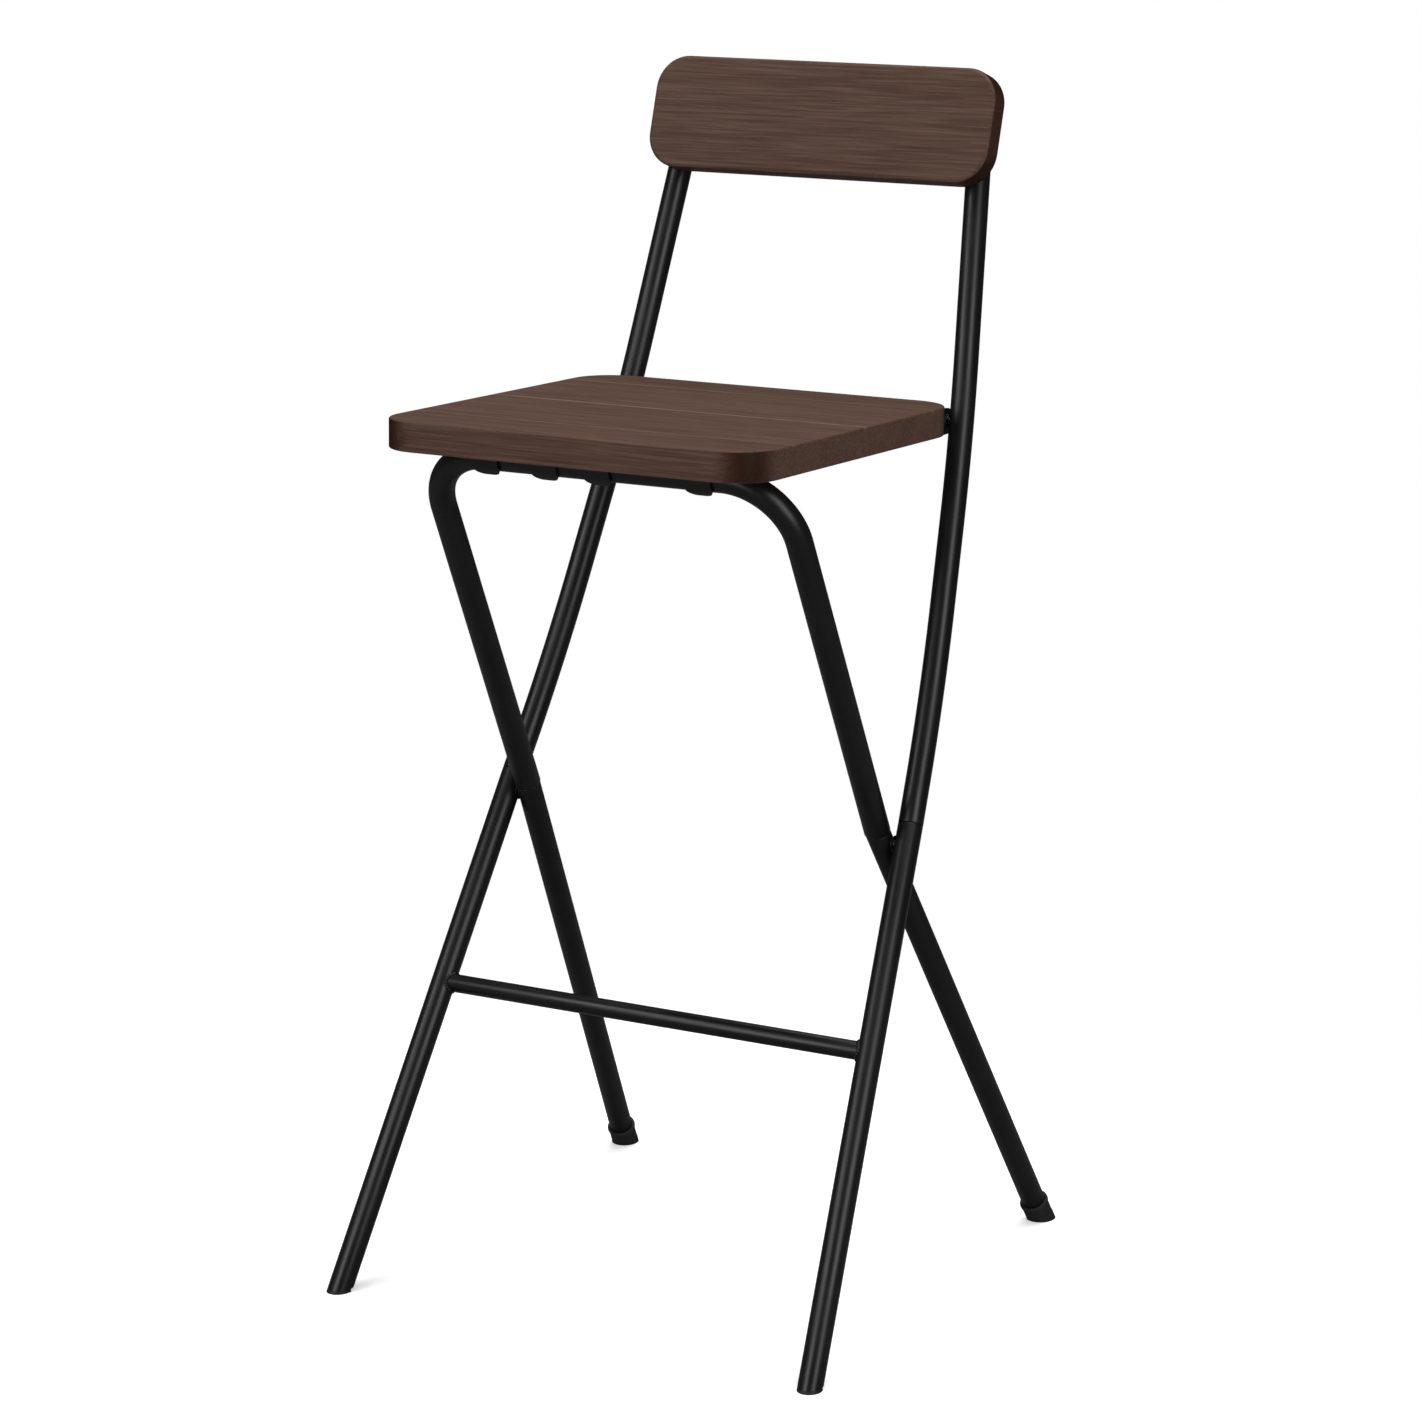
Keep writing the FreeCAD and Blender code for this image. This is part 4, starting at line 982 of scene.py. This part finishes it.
class STOOL_OT_back_tubes(bpy.types.Operator):
    """Sweep the two back tubes with their long bends"""
    bl_idname = "stool.back_tubes"
    bl_label = "Back tubes"

    def execute(self, context):
        sizes = context.scene.stool_sizes
        for side_name, side in SIDES.items():
            corners, _ = back_corners(side, sizes.back_bend)
            tube_object("back_tube_" + side_name, corners, sizes.leg_radius, "back_frame",
                        bend=sizes.back_bend, steps=24)
        return {"FINISHED"}


class STOOL_OT_legs(bpy.types.Operator):
    """Sweep the four straight legs, cut level at their feet, with a spigot in each joint"""
    bl_idname = "stool.legs"
    bl_label = "Legs"

    def execute(self, context):
        sizes = context.scene.stool_sizes
        profile = [(0.0, SPIGOT_LOW), (SPIGOT_RADIUS, SPIGOT_LOW),
                   (SPIGOT_RADIUS, SPIGOT_HIGH), (0.0, SPIGOT_HIGH)]
        for name, foot, joint, upper_run, level, body in (
                ("front_leg_", FRONT_FOOT, FRONT_JOINT, back_run, FOOT_RIM, "back_frame"),
                ("rear_leg_", REAR_FOOT, REAR_JOINT, hoop_run, CAP_SOLE, "support_frame")):
            for side_name, side in SIDES.items():
                upper = upper_run(side)
                start = mirrored(foot, side)
                end = mirrored(joint, side)
                start += (end - start).normalized() * LEG_TAIL
                tube_object(name + side_name, [start, end], sizes.leg_radius, body,
                            level=level, mouth=(end - upper * JOINT_SEAM, upper))
                spigot = placed(turned_mesh("spigot", profile), axis_place(end, upper))
                add_piece("steel_spigot_" + name + side_name, spigot, "frame_black", body)
        return {"FINISHED"}


class STOOL_OT_hoop(bpy.types.Operator):
    """Sweep the hoop that carries the front of the seat"""
    bl_idname = "stool.hoop"
    bl_label = "Seat hoop"

    def execute(self, context):
        sizes = context.scene.stool_sizes
        place = hoop_place()
        width, rise = HOOP_CORNER
        outline = [(-REAR_JOINT.x, 0.0), (-width, rise), (width, rise), (REAR_JOINT.x, 0.0)]
        corners = [place @ Vector((across, 0.0, up)) for across, up in outline]
        tube_object("seat_hoop", corners, sizes.hoop_radius, "support_frame",
                    bend=sizes.hoop_bend, steps=28, rim=sizes.hoop_rim)
        return {"FINISHED"}


def meeting_line(middle, axis, bar_radius, leg_radius):
    """Closed line on which the footrest's skin meets the right leg's skin."""
    points = []
    for step in range(BEAD_STEPS + 1):
        angle = 2 * math.pi * step / BEAD_STEPS
        across = Vector((0.0, math.cos(angle), math.sin(angle))) * bar_radius
        lateral = across - axis * across.dot(axis)
        run = Vector((-1.0, 0.0, 0.0)) + axis * axis.x
        square = run.dot(run)
        half = run.dot(lateral)
        rest = lateral.dot(lateral) - leg_radius ** 2
        distance = (-half + math.sqrt(half * half - square * rest)) / square
        points.append(middle + across - Vector((distance, 0.0, 0.0)))
    return points


class STOOL_OT_footrest(bpy.types.Operator):
    """Add the footrest bar and the weld bead at each of its ends"""
    bl_idname = "stool.footrest"
    bl_label = "Footrest"

    def execute(self, context):
        sizes = context.scene.stool_sizes
        middle = FRONT_FOOT.lerp(FRONT_PIVOT, FOOTREST_HEIGHT / FRONT_PIVOT.z)
        reach = middle.x - FOOTREST_INSET * sizes.leg_radius
        ends = [Vector((reach * side, middle.y, middle.z)) for side in SIDES.values()]
        tube_object("footrest_bar", ends, sizes.footrest_radius, "back_frame")
        axis = (FRONT_PIVOT - FRONT_FOOT).normalized()
        line = meeting_line(middle, axis, sizes.footrest_radius, sizes.leg_radius)
        tree = bead_tree()
        beads = []
        for side in SIDES.values():
            path = polyline([mirrored(point, side) for point in line], "bead_path")
            beads.append(run_tree(path, tree, {
                "Thickness": sizes.weld_bead, "Ripple": BEAD_RIPPLE,
                "Ripples": BEAD_RIPPLES}, "frame_black", "footrest_weld"))
        add_piece("footrest_welds", joined(beads, "footrest_welds", 60), "frame_black",
                  "back_frame")
        return {"FINISHED"}


class STOOL_OT_seat(bpy.types.Operator):
    """Shape the seat board with the shallow bed for the hoop's cross tube"""
    bl_idname = "stool.seat"
    bl_label = "Seat board"

    def execute(self, context):
        sizes = context.scene.stool_sizes
        board = board_mesh("seat_blank", SEAT_SIZE, SEAT_CORNER, sizes.board_edge,
                           sizes.board_edge)
        placed(board, seat_place() @ Matrix.Translation((0.0, 0.0, -SEAT_SIZE[2])))
        cross = Matrix.Translation(hoop_cross())
        bed_radius = sizes.hoop_radius + BED_GAP
        bed = bar_mesh("bed", bed_radius, BED_LENGTH, cross)
        # the bed opens to the rear along the line on which the tube leaves it
        away = Matrix.Rotation(-BED_EXIT - SEAT_SLOPE, 4, "X")
        centre = Matrix.Translation((0.0, 1.5 * bed_radius, bed_radius / 2))
        ramp_box = box_mesh("bed_exit", (BED_LENGTH, 3 * bed_radius, bed_radius),
                            cross @ away @ centre)
        mesh = carved(board, [bed, ramp_box], "board_with_bed")
        add_piece("wood_seat_board", mesh, "seat_wood", "seat", ("seat_board",))
        return {"FINISHED"}


class STOOL_OT_backrest(bpy.types.Operator):
    """Shape the backrest panel with its softly rounded front edge"""
    bl_idname = "stool.backrest"
    bl_label = "Backrest"

    def execute(self, context):
        sizes = context.scene.stool_sizes
        panel = board_mesh("panel_blank", PANEL_SIZE, PANEL_CORNER, sizes.panel_back_edge,
                           sizes.panel_edge)
        stand = Matrix.Rotation(math.radians(90), 4, "X")
        placed(panel, panel_place(sizes.back_bend) @ stand)
        cutters = []
        for side in SIDES.values():
            corners, direction = back_corners(side, sizes.back_bend)
            middle = corners[-1] - direction * PANEL_DROP
            turn = Matrix.Rotation(math.radians(-90), 4, "Y")
            cutters.append(bar_mesh("groove", sizes.leg_radius + GROOVE_GAP, GROOVE_LENGTH,
                                    axis_place(middle, direction) @ turn))
        mesh = carved(panel, cutters, "wood_backrest")
        add_piece("wood_backrest_panel", mesh, "backrest_wood", "back_frame",
                  ("backrest_panel",))
        return {"FINISHED"}


def cap_profile(leg_radius):
    """Rubber cap with three fine grooves and a lip round the leg."""
    profile = [(0.0, FOOT_DEPTH), (CAP_RADIUS, FOOT_DEPTH), (CAP_RADIUS, 0.0035),
               (CAP_WALL, 0.0055)]
    for groove in CAP_GROOVES:
        profile += [(CAP_WALL, groove - 0.0005), (CAP_WALL - 0.0004, groove - 0.0002),
                    (CAP_WALL - 0.0004, groove + 0.0002), (CAP_WALL, groove + 0.0005)]
    inside = CAP_HEIGHT - 0.0012
    profile += [(CAP_WALL, 0.0195), (CAP_RADIUS + 0.0005, 0.0200),
                (CAP_RADIUS + 0.0006, 0.0212), (CAP_RADIUS + 0.0005, 0.0222),
                (CAP_RADIUS - 0.0002, CAP_HEIGHT), (leg_radius + 0.0002, CAP_HEIGHT),
                (leg_radius + 0.0001, inside), (leg_radius - 0.001, inside), (0.0, inside)]
    return profile


def plug_profile(leg_radius, bore):
    """Plastic plug in a front foot, flush with the tube."""
    rim = leg_radius - PLUG_GAP
    core = bore - PLUG_GAP
    return [(0.0, FOOT_DEPTH), (rim, FOOT_DEPTH), (rim, 0.0024), (core, 0.0030),
            (core, PLUG_HEIGHT), (0.0, PLUG_HEIGHT)]


def dome_profile(leg_radius, bore, steps=6):
    """Low domed plug in the top of a back tube."""
    rim = leg_radius - PLUG_GAP
    core = bore - PLUG_GAP
    profile = [(0.0, DOME_DEPTH), (bore - 0.0010, DOME_DEPTH), (core, -0.0065), (core, 0.0),
               (rim, 0.0)]
    for step in range(1, steps):
        angle = math.radians(90) * step / steps
        profile.append((rim * math.cos(angle), DOME_HEIGHT * math.sin(angle)))
    return profile + [(0.0, DOME_HEIGHT)]


class STOOL_OT_feet(bpy.types.Operator):
    """Turn the rubber caps and plastic plugs at the ends of the tubes"""
    bl_idname = "stool.feet"
    bl_label = "Feet and plugs"

    def execute(self, context):
        sizes = context.scene.stool_sizes
        radius = sizes.leg_radius
        bore = radius - sizes.tube_wall
        cap = cap_profile(radius)
        plug = plug_profile(radius, bore)
        for side_name, side in SIDES.items():
            for name, profile, foot, pivot, body, slot in (
                    ("rear_foot_cap_", cap, REAR_FOOT, REAR_PIVOT, "support_frame",
                     "black_rubber"),
                    ("front_foot_plug_", plug, FRONT_FOOT, FRONT_PIVOT, "back_frame",
                     "black_plastic")):
                mesh = placed(turned_mesh(name, profile, 56),
                              axis_place(mirrored(foot, side), mirrored(pivot - foot, side)))
                cut_level(mesh, 0.0)
                set_smooth(mesh, 35)
                add_piece("moulded_" + name + side_name, mesh, slot, body,
                          (name + side_name,))
            corners, direction = back_corners(side, sizes.back_bend)
            mesh = placed(turned_mesh("dome", dome_profile(radius, bore), 48),
                          axis_place(corners[-1], direction))
            add_piece("moulded_back_tube_plug_" + side_name, mesh, "black_plastic",
                      "back_frame", ("back_tube_plug_" + side_name,))
        return {"FINISHED"}


def screw_blank(head, height, shank, length_down, name, steps=36):
    """Button-head screw with a six-sided socket, Z out of the head, zero under the head."""
    socket = SOCKET_SHARE * head

    def flat_sided(angle):
        corner = (angle + math.pi / 6) % (math.pi / 3) - math.pi / 6
        return socket * math.cos(math.pi / 6) / math.cos(corner)

    profile = [(shank, -length_down), (shank, 0.0), (head, 0.0), (head, 0.25 * height)]
    for step in range(1, 6):
        angle = math.radians(90) * step / 6
        profile.append((socket + (head - socket) * math.cos(angle),
                        height * (0.25 + 0.75 * math.sin(angle))))
    profile += [(flat_sided, height), (flat_sided, 0.35 * height)]
    work = bmesh.new()
    rings = [add_ring(work, radius, up, steps) for radius, up in profile]
    stitch(work, rings)
    close_ends(work, rings)
    bmesh.ops.recalc_face_normals(work, faces=work.faces)
    return finished(work, name, 35)


def head_crowns(node, facing):
    """Middle of each screw's crown in a CAD group, from the loose parts of its mesh."""
    work = merged_copy(frame["nodes"][node].data, 1e-6)
    seen = set()
    crowns = []
    for vertex in work.verts:
        if vertex in seen:
            continue
        seen.add(vertex)
        stack = [vertex]
        members = []
        while stack:
            current = stack.pop()
            members.append(current.co.copy())
            for edge in current.link_edges:
                other = edge.other_vert(current)
                if other not in seen:
                    seen.add(other)
                    stack.append(other)
        top = max(point.dot(facing) for point in members)
        near = [point for point in members if point.dot(facing) > top - 0.0001]
        crowns.append(sum(near, Vector()) / len(near))
    work.free()
    return crowns


class STOOL_OT_screws(bpy.types.Operator):
    """Set the socket screws of the backrest, the clips and the hinge"""
    bl_idname = "stool.screws"
    bl_label = "Screws"

    def execute(self, context):
        sizes = context.scene.stool_sizes
        tree = placed_tree()
        panel_out = panel_place(sizes.back_bend).to_3x3() @ Vector((0.0, 1.0, 0.0))
        seat_down = seat_place().to_3x3() @ -UP
        head = sizes.screw_head
        layout = [("backrest_screws", panel_out, head, PANEL_SCREW, "back_frame"),
                  ("clip_screws", seat_down, head, SEAT_SCREW, "seat"),
                  ("bracket_screws", seat_down, head, SEAT_SCREW, "seat")]
        for side_name, side in SIDES.items():
            layout.append(("hinge_screw_" + side_name, Vector((-side, 0.0, 0.0)),
                           sizes.hinge_head, HINGE_SCREW, "back_frame"))
        for node, facing, rim, (height, shank, length_down), body in layout:
            blank = screw_blank(rim, HEAD_SHARE * height, shank, length_down, node + "_blank")
            pattern = linked(node + "_pattern", blank)
            seats = [crown - facing * height for crown in head_crowns(node, facing)]
            points = bpy.data.meshes.new(node + "_points")
            points.from_pydata([tuple(seat) for seat in seats], [], [])
            mesh = run_tree(points, tree, {
                "Part": pattern, "Facing": tuple(facing), "Turn spread": 3.0, "Seed": 4},
                "black_screw", node + "_set")
            bpy.data.objects.remove(pattern)
            set_smooth(mesh, 35)
            add_piece("socket_" + node, mesh, "black_screw", body, (node,))
        return {"FINISHED"}


def clip_line(radius, ceiling, steps=32):
    """Middle line of a saddle clip's section, as a function of distance, and its length."""
    level = ceiling - CLIP_THICKNESS / 2
    first = math.atan2(level, -math.sqrt(radius ** 2 - level ** 2))
    last = math.radians(270) - BED_EXIT
    points = [Vector((0.0, -radius - CLIP_THICKNESS / 2 - CLIP_FOOT, level))]
    for step in range(steps + 1):
        angle = first + (last - first) * step / steps
        points.append(Vector((0.0, radius * math.cos(angle), radius * math.sin(angle))))
    away = Vector((0.0, math.cos(BED_EXIT), -math.sin(BED_EXIT)))
    points.append(points[-1] + away * (CLIP_LIP + CLIP_THICKNESS / 2))
    lengths = [0.0]
    for before, after in zip(points, points[1:]):
        lengths.append(lengths[-1] + (after - before).length)

    def at(distance):
        for index in range(len(points) - 1):
            if distance <= lengths[index + 1] or index == len(points) - 2:
                share = (distance - lengths[index]) / (lengths[index + 1] - lengths[index])
                return points[index].lerp(points[index + 1], share)

    return at, lengths[-1]


def clip_mesh(name, place, ceiling, bed_radius, columns=28, rows=48):
    """Pressed saddle clip as a sheet with rounded corners, to be given its thickness."""
    at, whole = clip_line(bed_radius + CLIP_THICKNESS / 2, ceiling)
    half = CLIP_WIDTH / 2
    work = bmesh.new()
    grid = []
    for column in range(columns + 1):
        across = half * math.sin(math.radians(90) * (2 * column / columns - 1))
        past = max(0.0, abs(across) - (half - CLIP_CORNER))
        trimmed = CLIP_CORNER - math.sqrt(max(0.0, CLIP_CORNER ** 2 - past ** 2))
        line = []
        for row in range(rows + 1):
            point = at(trimmed + (whole - 2 * trimmed) * row / rows)
            line.append(work.verts.new(place @ (point + Vector((across, 0.0, 0.0)))))
        grid.append(line)
    for before, after in zip(grid, grid[1:]):
        for row in range(rows):
            work.faces.new((before[row], before[row + 1], after[row + 1], after[row]))
    return finished(work, name, 50)


class STOOL_OT_clips(bpy.types.Operator):
    """Press the four saddle clips that hook round the hoop's cross tube"""
    bl_idname = "stool.clips"
    bl_label = "Saddle clips"

    def execute(self, context):
        sizes = context.scene.stool_sizes
        cross = hoop_cross()
        under = seat_place() @ Vector((0.0, 0.0, -SEAT_SIZE[2]))
        ceiling = (under - cross).dot(seat_place().to_3x3() @ UP)
        slope = Matrix.Rotation(-SEAT_SLOPE, 4, "X")
        for name, middle in CLIP_CENTRES.items():
            place = Matrix.Translation((middle, cross.y, cross.z)) @ slope
            mesh = clip_mesh("pressed_clip_" + name, place, ceiling,
                             sizes.hoop_radius + BED_GAP)
            clip = add_piece("pressed_clip_" + name, mesh, "bracket_black", "seat",
                             ("tube_clip_" + name,))
            add_wall(clip, CLIP_THICKNESS, 0.0)
            add_rounding(clip, sizes.pressed_edge)
        return {"FINISHED"}


def softened(node, name):
    """Copy of a CAD node's mesh with its loose triangles joined and flat faces merged."""
    work = merged_copy(frame["nodes"][node].data, 2e-6)
    bmesh.ops.dissolve_limit(work, angle_limit=math.radians(0.5), verts=work.verts,
                             edges=work.edges)
    bmesh.ops.recalc_face_normals(work, faces=work.faces)
    return finished(work, name, 35)


class STOOL_OT_brackets(bpy.types.Operator):
    """Round the edges of the hinge brackets and the washers"""
    bl_idname = "stool.brackets"
    bl_label = "Brackets and washers"

    def execute(self, context):
        sizes = context.scene.stool_sizes
        for side_name in SIDES:
            for kind, body, slot, rounding in (
                    ("hinge_bracket_", "seat", "bracket_black", sizes.pressed_edge),
                    ("hinge_washer_", "back_frame", "washer_plastic", sizes.washer_edge),
                    ("pivot_washer_", "back_frame", "washer_plastic", sizes.washer_edge)):
                node = kind + side_name
                piece = add_piece("pressed_" + node, softened(node, "pressed_" + node), slot,
                                  body, (node,))
                add_rounding(piece, rounding, angle=50, segments=2)
        return {"FINISHED"}


class STOOL_OT_stage(bpy.types.Operator):
    """Add the pale floor, the soft studio light and the camera"""
    bl_idname = "stool.stage"
    bl_label = "Stage"

    def execute(self, context):
        scene = context.scene
        floor = bpy.data.meshes.new("floor")
        corners = [(FLOOR_REACH * across, FLOOR_REACH * along, 0.0)
                   for across, along in ((-1, -1), (1, -1), (1, 1), (-1, 1))]
        floor.from_pydata(corners, [], [(0, 1, 2, 3)])
        ground = linked("studio_floor", floor)
        ground.data.materials.append(floor_material())
        for name, (spot, aim, power, across, up) in LAMPS.items():
            lamp = bpy.data.lights.new("studio_" + name, "AREA")
            lamp.energy = power
            lamp.shape = "RECTANGLE"
            lamp.size = across
            lamp.size_y = up
            holder = linked("studio_" + name, lamp)
            holder.location = spot
            aim_line = Vector(aim) - Vector(spot)
            holder.rotation_euler = aim_line.to_track_quat("-Z", "Y").to_euler()
        scene.world = bpy.data.worlds.new("studio")
        scene.world.use_nodes = True
        tree = scene.world.node_tree
        path = add_node(tree, "ShaderNodeLightPath").outputs
        around = mixed(tree, path["Is Glossy Ray"], ROOM_TONE, ROOM_IN_GLOSS)
        backdrop = tree.nodes["Background"]
        feed(tree, backdrop.inputs["Color"],
             mixed(tree, path["Is Camera Ray"], around, BACKDROP))
        feed(tree, backdrop.inputs["Strength"], 1.0)
        scene.view_settings.view_transform = "Standard"
        lens = bpy.data.cameras.new("photo_camera")
        lens.sensor_width = 36.0
        lens.sensor_fit = "HORIZONTAL"
        lens.lens = CAMERA_LENS
        lens.clip_start = 0.05
        lens.clip_end = 50.0
        camera = linked("photo_camera", lens)
        camera.location = CAMERA_PLACE
        camera.rotation_euler = CAMERA_TURN
        scene.camera = camera
        return {"FINISHED"}


class STOOL_PT_panel(bpy.types.Panel):
    """Sizes, colours and steps of the stool"""
    bl_idname = "STOOL_PT_panel"
    bl_label = "Folding bar stool"
    bl_space_type = "VIEW_3D"
    bl_region_type = "UI"
    bl_category = "Stool"

    def draw(self, context):
        layout = self.layout
        for group in (context.scene.stool_sizes, context.scene.stool_colours):
            box = layout.box()
            for name in group.__annotations__:
                box.prop(group, name)
        for operator in OPERATORS:
            layout.operator(operator.bl_idname)


OPERATORS = (
    STOOL_OT_finishes,
    STOOL_OT_back_tubes,
    STOOL_OT_legs,
    STOOL_OT_hoop,
    STOOL_OT_footrest,
    STOOL_OT_seat,
    STOOL_OT_backrest,
    STOOL_OT_feet,
    STOOL_OT_screws,
    STOOL_OT_clips,
    STOOL_OT_brackets,
    STOOL_OT_stage,
)
CLASSES = (StoolSizes, StoolColours) + OPERATORS + (STOOL_PT_panel,)


def register():
    for item in CLASSES:
        bpy.utils.register_class(item)
    bpy.types.Scene.stool_sizes = PointerProperty(type=StoolSizes)
    bpy.types.Scene.stool_colours = PointerProperty(type=StoolColours)


def unregister():
    del bpy.types.Scene.stool_colours
    del bpy.types.Scene.stool_sizes
    for item in reversed(CLASSES):
        bpy.utils.unregister_class(item)


def main():
    register()
    bpy.ops.stool.finishes()
    bpy.ops.stool.back_tubes()
    bpy.ops.stool.legs()
    bpy.ops.stool.hoop()
    bpy.ops.stool.footrest()
    bpy.ops.stool.seat()
    bpy.ops.stool.backrest()
    bpy.ops.stool.feet()
    bpy.ops.stool.screws()
    bpy.ops.stool.clips()
    bpy.ops.stool.brackets()
    bpy.ops.stool.stage()


if __name__ == "__main__":
    main()
